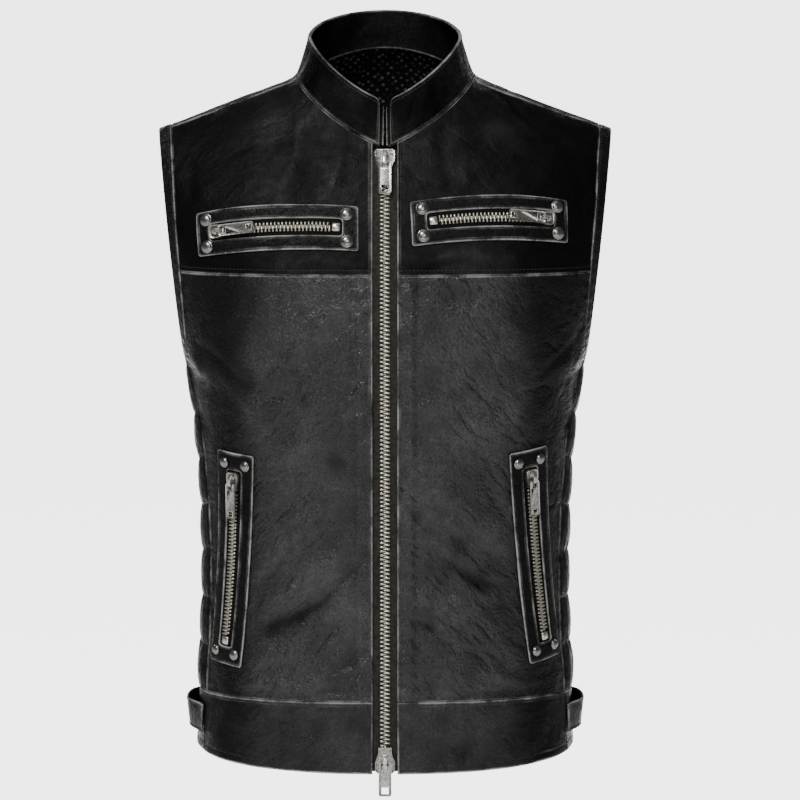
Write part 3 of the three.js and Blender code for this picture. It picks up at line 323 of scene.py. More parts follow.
def ridge(x, z=0.0):
    """Height of the shoulder ridge at a distance x from the centre."""
    out = np.abs(x) - NECK_HALF
    blend = NECK_BLEND + NECK_SOFTENING * np.maximum(0, -z - SHOULDER_SLOPE * np.maximum(0, out))
    inside = blend * np.logaddexp(0, -out / blend)
    bend = NECK_BEND * np.minimum(out, 0) ** 2
    return -SHOULDER_SLOPE * out + (NECK_SLOPE - SHOULDER_SLOPE) * inside - bend


SIDE_NECK_Z = float(ridge(NECK_HALF))


def torso(p):
    """Zero on the torso, positive outside it."""
    x, y, z = np.abs(p[..., 0]), p[..., 1], p[..., 2]
    half = column(TORSO, HALF, z)
    depth = np.where(y < 0, column(TORSO, FRONT_DEPTH, z), column(TORSO, BACK_DEPTH, z))
    cap = np.maximum(0, 1 - (ridge(x, z) - z) / SHOULDER_ROUND)
    across = np.maximum(0.02, 1 - (x / half) ** SECTION_POWER) ** (1 / SECTION_POWER)
    high = (y / (depth * across)) ** 2 + cap**2 - 1
    rounded = depth * np.sqrt(np.maximum(1 - cap**2, 1e-6))
    low = (x / half) ** SECTION_POWER + (np.abs(y) / rounded) ** SECTION_POWER - 1
    return np.where(cap > 0.6, high, low)


def slope_of_torso(p):
    h = 0.05
    steps = np.eye(3) * h
    return np.stack([(torso(p + s) - torso(p - s)) / (2 * h) for s in steps], -1)


def onto_torso(p):
    for _ in range(ONTO_STEPS):
        g = slope_of_torso(p)
        p = p - g * (torso(p) / (g**2).sum(-1))[..., None]
    return p


def unit(v):
    return v / np.maximum(np.linalg.norm(v, axis=-1, keepdims=True), 1e-12)


def normals(p):
    return unit(slope_of_torso(p))


def bumps(table, x, z):
    """Height of a table of folds at places seen from the front."""
    height = np.zeros_like(x)
    for fx, fz, slope, length, width, rise in table:
        cosine, sine = 1 / math.hypot(1, slope), slope / math.hypot(1, slope)
        u = ((x - fx) * cosine + (z - fz) * sine) / length
        v = ((z - fz) * cosine - (x - fx) * sine) / width
        height += rise * np.exp(-u * u - v * v)
    return height


def pocket_cover(p):
    """1 under the pockets' patches, where the cloth lies smooth, and 0 away from them."""
    cover = np.zeros(p.shape[:-1])
    for pocket in POCKETS.values():
        cosine, sine = math.cos(pocket["turn"]), math.sin(pocket["turn"])
        dx, dz = p[..., 0] - pocket["x"], p[..., 2] - pocket["z"]
        u = np.abs(dx * cosine + dz * sine) - pocket["width"] / 2
        v = np.abs(dz * cosine - dx * sine) - pocket["height"] / 2
        away = np.maximum(u, v)
        cover = np.maximum(cover, 1 - np.clip((away - 1) / 9, 0, 1))
    return np.where(p[..., 1] < 0, cover, 0)


def rumple(p, strength):
    """Slow uneven waves of worn leather, of three sizes."""
    random = np.random.default_rng(SEED)
    height = np.zeros(p.shape[:-1])
    for length, rise, count in WAVES:
        for _ in range(count):
            way = unit(random.normal(size=3)) * 2 * math.pi / (length * random.uniform(0.7, 1.3))
            height += rise / math.sqrt(count) * np.sin(p @ way + random.uniform(0, 2 * math.pi))
    return strength * height


def cloth_relief(p, strength=1.0):
    """Folds, creases and waves of the bare cloth."""
    x, z = p[..., 0], p[..., 2]
    bent_x = x + CREASE_BEND * np.sin(z / 13 + x / 31)
    bent_z = z + CREASE_BEND * np.sin(x / 11 - z / 37)
    bare = 1 - pocket_cover(p)
    front = bumps(FOLDS, x, z) + bare * bumps(CREASES, bent_x, bent_z)
    back = bumps(BACK_FOLDS, x, z)
    side = np.clip(p[..., 1] / 24 + 0.5, 0, 1)
    return front * np.where(p[..., 1] < 0, 1 - side, 0) + back * side + bare * rumple(p, strength)


def cloth_at(x, z, front):
    """The torso's point at distance x from the centre and height z."""
    x, z, side = np.broadcast_arrays(x, z, np.where(front, -1.0, 1.0))
    inner, outer = np.zeros(x.shape), np.full(x.shape, CLOTH_REACH)
    for _ in range(HALVINGS):
        middle = (inner + outer) / 2
        within = torso(np.stack([x, side * middle, z], -1)) < 0
        inner, outer = np.where(within, middle, inner), np.where(within, outer, middle)
    return np.stack([x, side * inner, z], -1)


def side_at(y, z):
    """The torso's point on the side at depth y and height z."""
    rounded = np.where(y < 0, column(TORSO, FRONT_DEPTH, z), column(TORSO, BACK_DEPTH, z))
    share = (1 - (np.abs(y) / rounded) ** SECTION_POWER) ** (1 / SECTION_POWER)
    return np.stack([column(TORSO, HALF, z) * share, y + 0 * z, z + 0 * y], -1)


# Lines on the cloth

def reach_of(line):
    return np.concatenate([[0], np.cumsum(np.linalg.norm(np.diff(line, axis=0), axis=1))])


def divided(shares, *parts):
    """Lines joined end to end, read at shares of their whole length. Their corners stay."""
    line = np.vstack([parts[0]] + [part[1:] for part in parts[1:]])
    reach = reach_of(line)
    places = shares * reach[-1]
    points = np.stack([np.interp(places, reach, line[:, k]) for k in range(3)], -1)
    corner = 0
    for part in parts[:-1]:
        corner += reach_of(part)[-1]
        points[np.argmin(np.abs(places - corner))] = part[-1]
    return points


def spaced(length, step, fine=(0.25, 0.6, 1.1, 1.8, 2.8)):
    """Shares from 0 to 1 of a length, closer together near both ends."""
    count = max(2, round((length - 2 * fine[-1]) / step))
    middle = np.linspace(fine[-1], length - fine[-1], count + 1)
    ends = np.array(fine[:-1])
    return np.concatenate([[0], ends, middle, length - ends[::-1], [length]]) / length


def neck_line(share, let_out=0.0):
    """The neck line from the centre front (0) round the wearer's left to the centre back (1)."""
    turn = np.asarray(share) * math.pi
    front = turn < math.pi / 2
    x = (NECK_HALF + let_out) * np.sin(turn)
    inside = np.minimum(x / (NECK_HALF + let_out), 1)
    drop = SIDE_NECK_Z + NECK_FRONT_DROP + let_out
    front_z = SIDE_NECK_Z - drop * (1 - inside**NECK_FRONT_POWER) ** (1 / NECK_FRONT_POWER)
    back_z = SIDE_NECK_Z + (NECK_BACK_RISE - SIDE_NECK_Z - let_out) * (1 - inside**2)
    z = np.minimum(np.where(front, front_z, back_z), ridge(x) - 0.02)
    return cloth_at(x, z, front)


def collar_top(share):
    turn = np.asarray(share) * math.pi
    front = turn < math.pi / 2
    x = COLLAR["half"] * np.sin(turn)
    inside = np.minimum(x / COLLAR["half"], 1)
    fall = (1 - inside**COLLAR_POWER) ** (1 / COLLAR_POWER)
    front_z = COLLAR["side_z"] + (COLLAR["front_z"] - COLLAR["side_z"]) * fall
    back_z = COLLAR["side_z"] + (COLLAR["back_z"] - COLLAR["side_z"]) * np.sqrt(1 - inside**2)
    depth = np.where(front, COLLAR["front"], COLLAR["back"])
    return np.stack([x, -depth * np.cos(turn), np.where(front, front_z, back_z)], -1)


FINE_SHARES = np.linspace(0, 1, 2001)


def share_where(test, most=0.5):
    """The first share at which a test of fine shares holds."""
    shares = FINE_SHARES * most
    return float(shares[np.argmax(test(shares))])


def chest_seam_z(x):
    return CHEST_SEAM_Z + CHEST_SEAM_RISE * np.maximum(0, 1 - (x / 190) ** 2)


def towards(y):
    return np.minimum(1, np.maximum(y, 0) / FRONT_REACH) ** 1.5


def band_top_z(y):
    return BAND_TOP_Z + BAND_TOP_RISE * towards(-y)


def hem_z(y):
    return HEM_SIDE_Z - HEM_FRONT_DIP * towards(-y) - HEM_BACK_DIP * towards(y)


def armhole_edge_x(z):
    return ARMHOLE_TOP_X + ARMHOLE_LEAN * (z - ARMHOLE_TOP_Z)


def armhole_loop(count):
    """The closed edge of the wearer's left armhole: up the front, over the shoulder, down the back."""
    low = np.linspace(-320, -240, 4001)
    bottom = low[np.argmax(column(TORSO, HALF, low) > armhole_edge_x(low))]
    high = np.linspace(-20, -80, 4001)
    top = high[np.argmax(ridge(armhole_edge_x(high)) > high)]
    eased = (1 - np.cos(math.pi * np.linspace(0, 1, 500))) / 2
    z = bottom + (top - bottom) * eased
    front = cloth_at(armhole_edge_x(z), z, True)
    back = cloth_at(armhole_edge_x(z), z, False)[::-1]
    return divided(np.linspace(0, 1, count + 1), front, back)[:-1]


ARMHOLE_POINTS = 720
PAST_TOP = 90  # points by which the front's and the back's lines run on past the shoulder
armhole_edge = armhole_loop(ARMHOLE_POINTS)
armhole_along = unit(np.roll(armhole_edge, -1, 0) - np.roll(armhole_edge, 1, 0))
armhole_normal = normals(armhole_edge)
armhole_across = unit(np.cross(armhole_normal, armhole_along))
to_middle = armhole_edge.mean(0) - armhole_edge[0]
if armhole_across[0] @ to_middle < 0:
    armhole_across = -armhole_across
binding_line = onto_torso(armhole_edge - armhole_across * (BINDING_WIDTH + SEAM_GAP))
UPPER_FRONT = binding_line[: ARMHOLE_POINTS // 2 + PAST_TOP]
UPPER_BACK = np.vstack([binding_line[:1], binding_line[: ARMHOLE_POINTS // 2 - PAST_TOP : -1]])


def first(test):
    """The first place along a line where a test starts to hold."""
    return int(np.argmax(test[1:] & ~test[:-1])) + 1


def side_cut(front, gap):
    if front:
        return first(UPPER_FRONT[:, 1] < column(SIDE_SEAM, 1, UPPER_FRONT[:, 2]) - gap)
    return first(UPPER_BACK[:, 1] > column(SIDE_SEAM, 2, UPPER_BACK[:, 2]) + gap)


def chest_cut(gap):
    return first(UPPER_FRONT[:, 2] > chest_seam_z(UPPER_FRONT[:, 0]) + gap)


def shoulder_cut(front, gap):
    line = UPPER_FRONT if front else UPPER_BACK
    below = ridge(line[:, 0]) - SEAM_FORWARD - line[:, 2]
    if front:
        return first((below < gap) | (line[:, 1] > 0))
    return first((line[:, 1] < 0) & (below > -gap))


def side_seam(front, end, inset):
    """The side seam from the waistband up to its end on the binding line."""
    k, way = (1, -1) if front else (2, 1)
    low = band_top_z(column(SIDE_SEAM, 1, BAND_TOP_Z) if front else 0) + HALF_GAP
    z = np.linspace(low, end[2], 200)
    line = side_at(column(SIDE_SEAM, k, z) + way * inset, z)
    line[-1] = end
    return line


def level_line(x0, x1, z_at, front):
    x = np.linspace(x0, x1, 200)
    return cloth_at(x, z_at(x), front)


def band_line(x0, x1, rise):
    x = np.linspace(x0, x1, 200)
    y = cloth_at(x, BAND_TOP_Z, True)[:, 1]
    return cloth_at(x, band_top_z(y) + rise, True)


def upright_line(x, z0, z1, front):
    return cloth_at(x, np.linspace(z0, z1, 200), front)


NECK_START = share_where(lambda s: neck_line(s, SEAM_GAP)[:, 0] > FRONT_EDGE_X)


def seam_share(gap):
    def above(s):
        p = neck_line(s, SEAM_GAP)
        return p[:, 2] > ridge(p[:, 0]) - SEAM_FORWARD - gap

    return share_where(above)


def shoulder_seam(gap, end):
    start = neck_line(seam_share(gap), SEAM_GAP)
    x = np.linspace(start[0], end[0], 200)
    line = cloth_at(x, ridge(x) - SEAM_FORWARD - gap, True)
    line[0], line[-1] = start, end
    return line


def neck_stretch(start, end):
    return neck_line(np.linspace(start, end, 200), SEAM_GAP)


def patch(step, bottom, top, left, right):
    """A grid of cloth between four border lines, each given as a list of its parts."""
    u = spaced(reach_of(np.vstack(bottom))[-1], step)
    v = spaced(reach_of(np.vstack(left))[-1], step)
    low, high = divided(u, *bottom), divided(u, *top)
    near, far = divided(v, *left), divided(v, *right)
    u, v = u[None, :, None], v[:, None, None]
    between = (1 - u) * near[:, None] + u * far[:, None] + (1 - v) * low[None] + v * high[None]
    lower = (1 - u) * low[0] + u * low[-1]
    upper = (1 - u) * high[0] + u * high[-1]
    return onto_torso(between - (1 - v) * lower - v * upper)


def yoke_grid(step):
    start, end = chest_cut(HALF_GAP), shoulder_cut(True, HALF_GAP)
    armhole = UPPER_FRONT[start : end + 1]
    seam = shoulder_seam(HALF_GAP, armhole[-1])
    neck = neck_stretch(NECK_START, seam_share(HALF_GAP))
    bottom = level_line(FRONT_EDGE_X, armhole[0][0], lambda x: chest_seam_z(x) + HALF_GAP, True)
    bottom[-1] = armhole[0]
    edge = upright_line(FRONT_EDGE_X, bottom[0][2], neck[0][2], True)
    return patch(step, [bottom], [neck, seam], [edge], [armhole])


def lower_front_grid(step):
    start, end = side_cut(True, HALF_GAP), chest_cut(-HALF_GAP)
    armhole = UPPER_FRONT[start : end + 1]
    seam = side_seam(True, armhole[0], HALF_GAP)
    bottom = band_line(FRONT_EDGE_X, seam[0][0], HALF_GAP)
    bottom[-1] = seam[0]
    top = level_line(FRONT_EDGE_X, armhole[-1][0], lambda x: chest_seam_z(x) - HALF_GAP, True)
    top[-1] = armhole[-1]
    edge = upright_line(FRONT_EDGE_X, bottom[0][2], top[0][2], True)
    return patch(step, [bottom], [top], [edge], [seam, armhole])


def half_back_grid(step):
    start, end = side_cut(False, HALF_GAP), shoulder_cut(False, HALF_GAP)
    armhole = UPPER_BACK[start : end + 1]
    sew = side_seam(False, armhole[0], HALF_GAP)
    low = BAND_TOP_Z + HALF_GAP
    bottom = level_line(0, sew[0][0], lambda x: low + 0 * x, False)
    bottom[-1] = sew[0]
    seam = shoulder_seam(-HALF_GAP, armhole[-1])
    neck = neck_stretch(1, seam_share(-HALF_GAP))
    spine = upright_line(0, low, neck[0][2], False)
    return patch(step, [bottom], [neck, seam], [spine], [sew, armhole])


def side_panel_grid(step):
    front, back = side_cut(True, -HALF_GAP), side_cut(False, -HALF_GAP)
    left = side_seam(True, UPPER_FRONT[front], -HALF_GAP)
    right = side_seam(False, UPPER_BACK[back], -HALF_GAP)
    top = np.vstack([UPPER_FRONT[: front + 1][::-1], UPPER_BACK[1 : back + 1]])
    y = np.linspace(left[0][1], right[0][1], 100)
    bottom = side_at(y, np.linspace(left[0][2], right[0][2], 100))
    return patch(step, [bottom], [top], [left], [right])


def on_side(p, sign):
    """Points of the wearer's left (1) put on the left or, mirrored, on the right (-1)."""
    return p * np.array([sign, 1, 1])


# Meshes

def make_object(name, points, faces, material, smooth=True):
    mesh = bpy.data.meshes.new(name)
    mesh.from_pydata((np.asarray(points) * MM).tolist(), [], faces)
    mesh.materials.append(material)
    mesh.polygons.foreach_set("use_smooth", [smooth] * len(mesh.polygons))
    mesh.validate()
    thing = bpy.data.objects.new(name, mesh)
    bpy.context.scene.collection.objects.link(thing)
    return thing


def give_attribute(thing, name, values):
    attribute = thing.data.attributes.new(name, "FLOAT", "POINT")
    attribute.data.foreach_set("value", np.asarray(values, np.float32).ravel())


def shell(name, outer, inner, material, rub, closed=False, inside_rub=None, uv=None, wear_and_painted_light=0.16):
    """A thin wall between two grids of points. With closed, its rows join round into a ring."""
    rows, columns = outer.shape[:2]
    index = np.arange(rows * columns).reshape(rows, columns)
    if closed:
        index = np.vstack([index, index[:1]])
    quads = np.stack([index[:-1, :-1], index[:-1, 1:], index[1:, 1:], index[1:, :-1]], -1).reshape(-1, 4)
    borders = [index[:, -1], index[::-1, 0]]
    if not closed:
        borders = [np.concatenate([index[0], index[1:, -1], index[-1, -2::-1], index[-2::-1, 0]])]
    count = rows * columns
    rims = [np.stack([b[:-1], b[:-1] + count, b[1:] + count, b[1:]], -1) for b in borders]
    faces = np.vstack([quads, quads[:, ::-1] + count, *rims])
    points = np.vstack([outer.reshape(-1, 3), inner.reshape(-1, 3)])
    middle = quads[len(quads) // 2]
    a, b, _, d = points[middle]
    if np.dot(np.cross(b - a, d - a), a - points[middle[0] + count]) < 0:
        faces = faces[:, ::-1]
    thing = make_object(name, points, faces.tolist(), material)
    inside = np.zeros_like(rub) if inside_rub is None else inside_rub
    give_attribute(thing, "rub", np.concatenate([rub.ravel(), inside.ravel()]))
    give_attribute(thing, "wear_and_painted_light", np.tile(np.broadcast_to(wear_and_painted_light, rub.shape).ravel(), 2))
    if uv is not None:
        layer = thing.data.uv_layers.new(name="UVMap")
        corners = np.zeros(len(thing.data.loops), np.int32)
        thing.data.loops.foreach_get("vertex_index", corners)
        layer.data.foreach_set("uv", (np.vstack([uv.reshape(-1, 2)] * 2)[corners] * MM).ravel())
    return thing


def edge_distances(p):
    """For each point of a grid, its distances along the cloth from the left, right, bottom and top."""
    across = np.linalg.norm(np.diff(p, axis=1), axis=-1)
    upward = np.linalg.norm(np.diff(p, axis=0), axis=-1)
    left = np.concatenate([np.zeros((p.shape[0], 1)), np.cumsum(across, 1)], 1)
    bottom = np.concatenate([np.zeros((1, p.shape[1])), np.cumsum(upward, 0)], 0)
    return {
        "left": left,
        "right": left[:, -1:] - left,
        "bottom": bottom,
        "top": bottom[-1:] - bottom,
    }


def hump(d, middle, half):
    """A soft rise to 1 at the middle, with a half width."""
    return np.exp(-(((d - middle) / half) ** 2))


def wave(run, length, start=0.0):
    return np.sin(2 * math.pi * run / length + start)


def uneven_waves(run, length, drift, bend=1.7):
    """Waves whose length drifts along the run."""
    return wave(run, length, bend * wave(run, drift))


def round_off(d, radius):
    """How far a rounded edge lies below the face, at distance d from it."""
    t = 1 - np.clip(d / radius, 0, 1)
    return radius * (1 - np.sqrt(np.maximum(0, 1 - t * t)))


def seam_relief(distances, seams):
    """Height and rubbed share beside the named borders.

    A seam is (border, drop radius, rub, stitch distance, pucker)."""
    shape = distances["left"].shape
    height, rub = np.zeros(shape), np.zeros(shape)
    for border, radius, rubbed, stitch, pucker in seams:
        d = distances[border]
        run = distances["bottom"] if border in ("left", "right") else distances["left"]
        height -= round_off(d, radius)
        height += pucker * uneven_waves(run, 8.6, 47) * (0.6 + 0.4 * wave(run, 63, 1.1)) * hump(d, 4, 7)
        rub = np.maximum(rub, rubbed * hump(d, 0, 1.5))
        if stitch:
            height += 0.35 * hump(d, stitch / 2, 0.3 * stitch) - 0.42 * hump(d, stitch, 0.75)
            rub = np.maximum(rub, 0.42 * rubbed * hump(d, stitch, 0.9))
    return height, rub


def dress(thing, slot, *replaced, body="vest"):
    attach(thing, body)
    if replaced:
        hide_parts(*replaced)
    return thing


def declare_sheet(thing, base):
    """Works out the area, width and length of a piece's cut from the cloth surface that it was laid on; the
    results are not kept.
    """
    distances = edge_distances(base)
    across = base[1:, 1:] - base[:-1, :-1]
    other = base[1:, :-1] - base[:-1, 1:]
    area = np.linalg.norm(np.cross(across, other), axis=-1).sum() / 2
    wide, long = float(distances["left"].max()), float(distances["bottom"].max())
    area = min(area, wide * long)


# Materials

def blank_material(name):
    material = bpy.data.materials.new(name)
    material.use_nodes = True
    tree = material.node_tree
    return material, tree, tree.nodes["Principled BSDF"]


def node(tree, kind, values=None, **properties):
    """A new shader node. A value that is a socket is linked, any other is set."""
    new = tree.nodes.new("ShaderNode" + kind)
    for key, value in properties.items():
        setattr(new, key, value)
    for key, value in (values or {}).items():
        if isinstance(value, bpy.types.NodeSocket):
            tree.links.new(value, new.inputs[key])
        else:
            new.inputs[key].default_value = value
    return new


def noise(tree, place, scale, detail=4.0, roughness=0.55):
    values = {"Vector": place, "Scale": scale, "Detail": detail, "Roughness": roughness}
    return node(tree, "TexNoise", values).outputs["Fac"]


def spread(tree, value, low, high, to_low=0.0, to_high=1.0):
    values = {"Value": value, "From Min": low, "From Max": high, "To Min": to_low, "To Max": to_high}
    return node(tree, "MapRange", values, interpolation_type="SMOOTHSTEP").outputs["Result"]


def math_node(tree, operation, a, b):
    return node(tree, "Math", {0: a, 1: b}, operation=operation).outputs[0]


def mix_colours(tree, share, a, b):
    mix = node(tree, "Mix", data_type="RGBA")
    for socket, value in ((mix.inputs[0], share), (mix.inputs[6], a), (mix.inputs[7], b)):
        if isinstance(value, bpy.types.NodeSocket):
            tree.links.new(value, socket)
        else:
            socket.default_value = (*value, 1)
    return mix.outputs[2]


def fine_creases(tree, place):
    """Thin crooked creases in some places, which run up towards the zip from both sides."""
    axes = node(tree, "SeparateXYZ", {0: place}).outputs
    outward = math_node(tree, "ABSOLUTE", axes["X"], 0.0)
    folded = node(tree, "CombineXYZ", {"X": outward, "Y": axes["Y"], "Z": axes["Z"]}).outputs[0]
    values = {"Vector": folded, "Rotation": (0, math.radians(42), 0), "Scale": (3.5, 1, 1)}
    stretched = node(tree, "Mapping", values, vector_type="TEXTURE").outputs[0]
    values = {"Vector": stretched, "W": math_node(tree, "MULTIPLY", axes["X"], 0.25), "Scale": 40.0}
    values.update({"Detail": 4.0, "Roughness": 0.5})
    level = node(tree, "TexNoise", values, noise_dimensions="4D").outputs["Fac"]
    away = math_node(tree, "ABSOLUTE", math_node(tree, "SUBTRACT", level, 0.5), 0.0)
    places = spread(tree, noise(tree, place, 16, 3), 0.4, 0.6)
    return math_node(tree, "MULTIPLY", spread(tree, away, 0, 0.09, 1, 0), places)


def leather_layers(tree, place):
    """The leather's patterns, from the largest to the smallest."""
    shift = node(tree, "TexNoise", {"Vector": place, "Scale": 90.0, "Detail": 3.0}).outputs["Color"]
    values = {0: shift, 1: (0.012, 0.012, 0.012), 2: place}
    warped = node(tree, "VectorMath", values, operation="MULTIPLY_ADD").outputs["Vector"]
    net = node(tree, "TexVoronoi", {"Vector": warped, "Scale": 250.0}, feature="DISTANCE_TO_EDGE")
    cells = node(tree, "TexVoronoi", {"Vector": place, "Scale": 480.0}, feature="SMOOTH_F1")
    return {
        "blotches": noise(tree, place, 18, 5, 0.62),
        "streaks": noise(tree, place, 48, 5, 0.6),
        "mottle": noise(tree, place, 110, 6, 0.68),
        "net": net.outputs["Distance"],
        "crinkle": noise(tree, place, 340, 3, 0.6),
        "cells": cells.outputs["Distance"],
        "fine": noise(tree, place, 780, 5, 0.7),
    }


def leather_tone(tree, layers, wear_and_painted_light, look):
    """How pale the leather is: by an attribute that holds rubbing and painted light and shade, in clouds and
    spots, and darkened as painted shade along its wrinkles.
    """
    clouds = spread(tree, layers["blotches"], 0.36, 0.66, 1 - look["blotches"], 1 + look["blotches"])
    patchy = math_node(tree, "MULTIPLY", clouds, spread(tree, layers["mottle"], 0.3, 0.7, 0.5, 1))
    tone = math_node(tree, "MULTIPLY", wear_and_painted_light, patchy)
    spots = math_node(tree, "SUBTRACT", layers["fine"], layers["cells"])
    spots = spread(tree, spots, -0.2, 0.4, 1 - look["scuffs"], 1 + look["scuffs"])
    tone = math_node(tree, "MULTIPLY", tone, spots)
    # Darker along the net of wrinkles: painted shade in the wrinkles
    return math_node(tree, "MULTIPLY", tone, spread(tree, layers["net"], 0, 0.1, 1 - look["wrinkles"], 1))


def worn_grey(tree, layers, rub):
    """How far the rubbed edges have turned grey, in uneven streaks."""
    streaks = math_node(tree, "ADD", layers["streaks"], math_node(tree, "MULTIPLY", layers["fine"], 0.5))
    uneven = math_node(tree, "MULTIPLY", spread(tree, streaks, 0.5, 1.0, 0.3, 1.25), rub)
    return spread(tree, uneven, 0.12, 1.05)


def leather_height(tree, place, layers, look):
    """Height of the grain, wrinkles and fine creases, in millimetres."""
    height = 0.0
    for layer, rise in (
        (layers["cells"], -0.32 * look["grain"]),
        (layers["crinkle"], 1.0 * look["grain"]),
        (layers["mottle"], 1.0),
        (spread(tree, layers["net"], 0, 0.12), 0.4 * look["wrinkles"]),
        (fine_creases(tree, place), -look["creases"]),
    ):
        height = math_node(tree, "ADD", height, math_node(tree, "MULTIPLY", layer, rise))
    return height


def leather_material(name, dark, light, look):
    """Black leather, paler by an attribute that holds both rubbing and painted light and shade, and pale grey
    along edges by its rub attribute.
    """
    material, tree, shader = blank_material(name)
    place = node(tree, "TexCoord").outputs["Object"]
    wear_and_painted_light = node(tree, "Attribute", attribute_name="wear_and_painted_light").outputs["Fac"]
    rub = node(tree, "Attribute", attribute_name="rub").outputs["Fac"]
    layers = leather_layers(tree, place)
    worn = worn_grey(tree, layers, rub)
    colour = mix_colours(tree, leather_tone(tree, layers, wear_and_painted_light, look), dark, light)
    tree.links.new(mix_colours(tree, worn, colour, RUBBED), shader.inputs["Base Color"])
    gloss = spread(tree, layers["mottle"], 0.3, 0.7, look["gloss"] + 0.14, look["gloss"] - 0.06)
    roughness = math_node(tree, "ADD", gloss, math_node(tree, "MULTIPLY", worn, 0.2))
    tree.links.new(roughness, shader.inputs["Roughness"])
    sheen = spread(tree, wear_and_painted_light, 0.06, 0.5, 0.3 * look["sheen"], look["sheen"])
    shader.inputs["Specular IOR Level"].default_value = look["sheen"]
    tree.links.new(sheen, shader.inputs["Specular IOR Level"])
    height = leather_height(tree, place, layers, look)
    bump = node(tree, "Bump", {"Strength": 1.0, "Distance": MM, "Height": height})
    tree.links.new(bump.outputs["Normal"], shader.inputs["Normal"])
    return material


def metal_material(name, bright, dark, roughness):
    """Antique silver, darker by its patina attribute and in small faint patches."""
    material, tree, shader = blank_material(name)
    place = node(tree, "TexCoord").outputs["Object"]
    patina = node(tree, "Attribute", attribute_name="patina").outputs["Fac"]
    patches = noise(tree, place, 520, 4, 0.55)
    share = math_node(tree, "ADD", patina, spread(tree, patches, 0.45, 0.72, -0.05, 0.35))
    tree.links.new(mix_colours(tree, share, bright, dark), shader.inputs["Base Color"])
    shader.inputs["Metallic"].default_value = 1.0
    scratches = spread(tree, noise(tree, place, 900, 4, 0.6), 0.3, 0.7, roughness - 0.05, roughness + 0.1)
    tree.links.new(scratches, shader.inputs["Roughness"])
    bump = node(tree, "Bump", {"Strength": 0.12, "Distance": 0.0001, "Height": patches})
    tree.links.new(bump.outputs["Normal"], shader.inputs["Normal"])
    return material


def woven_material(name, dark, light, scale):
    """A close weave of two crossing sets of threads."""
    material, tree, shader = blank_material(name)
    place = node(tree, "TexCoord").outputs["Object"]
    across = node(tree, "TexWave", {"Vector": place, "Scale": scale}, bands_direction="X")
    along = node(tree, "TexWave", {"Vector": place, "Scale": scale}, bands_direction="Z")
    weave = math_node(tree, "MULTIPLY", across.outputs["Fac"], along.outputs["Fac"])
    weave = math_node(tree, "MULTIPLY", weave, spread(tree, noise(tree, place, 260, 4), 0.3, 0.7))
    tree.links.new(mix_colours(tree, weave, dark, light), shader.inputs["Base Color"])
    shader.inputs["Roughness"].default_value = 0.9
    shader.inputs["Specular IOR Level"].default_value = 0.2
    bump = node(tree, "Bump", {"Strength": 0.6, "Distance": 0.0002, "Height": weave})
    tree.links.new(bump.outputs["Normal"], shader.inputs["Normal"])
    return material


def mesh_material(name, dark, light):
    """Sports mesh: dark knit with rows of small holes that let pale light through."""
    material, tree, shader = blank_material(name)
    place = node(tree, "TexCoord").outputs["UV"]
    turned = node(tree, "Mapping", {"Vector": place, "Rotation": (0, 0, math.radians(45))}).outputs[0]
    values = {"Vector": turned, "Scale": 150.0, "Randomness": 0.45}
    cells = node(tree, "TexVoronoi", values, voronoi_dimensions="2D").outputs["Distance"]
    hole = spread(tree, cells, 0.32, 0.14)
    faint = spread(tree, noise(tree, place, 90, 4), 0.4, 0.62, 0.1, 1.0)
    share = math_node(tree, "MULTIPLY", hole, faint)
    tree.links.new(mix_colours(tree, share, dark, light), shader.inputs["Base Color"])
    shader.inputs["Roughness"].default_value = 0.85
    shader.inputs["Specular IOR Level"].default_value = 0.15
    bump = node(tree, "Bump", {"Strength": 0.8, "Distance": 0.0006, "Height": cells})
    tree.links.new(bump.outputs["Normal"], shader.inputs["Normal"])
    return material


def thread_material(name, dark, light):
    material, tree, shader = blank_material(name)
    place = node(tree, "TexCoord").outputs["Object"]
    twist = node(tree, "TexWave", {"Vector": place, "Scale": 500.0}).outputs["Fac"]
    tree.links.new(mix_colours(tree, twist, dark, light), shader.inputs["Base Color"])
    shader.inputs["Roughness"].default_value = 0.6
    return material


PALE_HALF, PALE_FADE = 152, 55  # from the centre to the end of the pale middle, and its soft edge; the paleness is partly rubbing, partly painted light
# Least paleness, towards the sides, where the leather is darkened as painted shade
PALE_LEAST = 0.12
RUBBED = (0.42, 0.41, 0.39)
# Looks of the leather: height of the grain, share of the pale spots, roughness, share of the clouds, specular
# level where palest, depth of the wrinkles and of the painted shade along them, and depth of the fine creases
LOOK_KEYS = ("grain", "scuffs", "gloss", "blotches", "sheen", "wrinkles", "creases")
SMOOTH = dict(zip(LOOK_KEYS, (0.3, 0.3, 0.4, 0.9, 0.24, 0.2, 0.5)))
PEBBLED = dict(zip(LOOK_KEYS, (1.2, 0.4, 0.27, 0.5, 0.52, 0.2, 1.3)))
TRIM = dict(zip(LOOK_KEYS, (0.5, 0.4, 0.3, 0.7, 0.4, 0.3, 0.6)))
COLLAR_LOOK = dict(zip(LOOK_KEYS, (0.4, 0.4, 0.42, 0.98, 0.22, 0.3, 0.5)))
smooth_leather = leather_material("leather_smooth", (0.003, 0.003, 0.0032), (0.04, 0.0393, 0.0393), SMOOTH)
pebbled_leather = leather_material("leather_pebbled", (0.003, 0.003, 0.0031), (0.048, 0.0475, 0.047), PEBBLED)
trim_leather = leather_material("leather_trim", (0.004, 0.004, 0.0042), (0.042, 0.0413, 0.0405), TRIM)
collar_leather = leather_material("leather_collar", (0.001, 0.001, 0.001), (0.05, 0.049, 0.048), COLLAR_LOOK)
silver = metal_material("antique_silver", (0.82, 0.79, 0.74), (0.06, 0.055, 0.047), 0.3)
rivet_metal = metal_material("antique_rivets", (0.36, 0.35, 0.335), (0.06, 0.057, 0.052), 0.26)
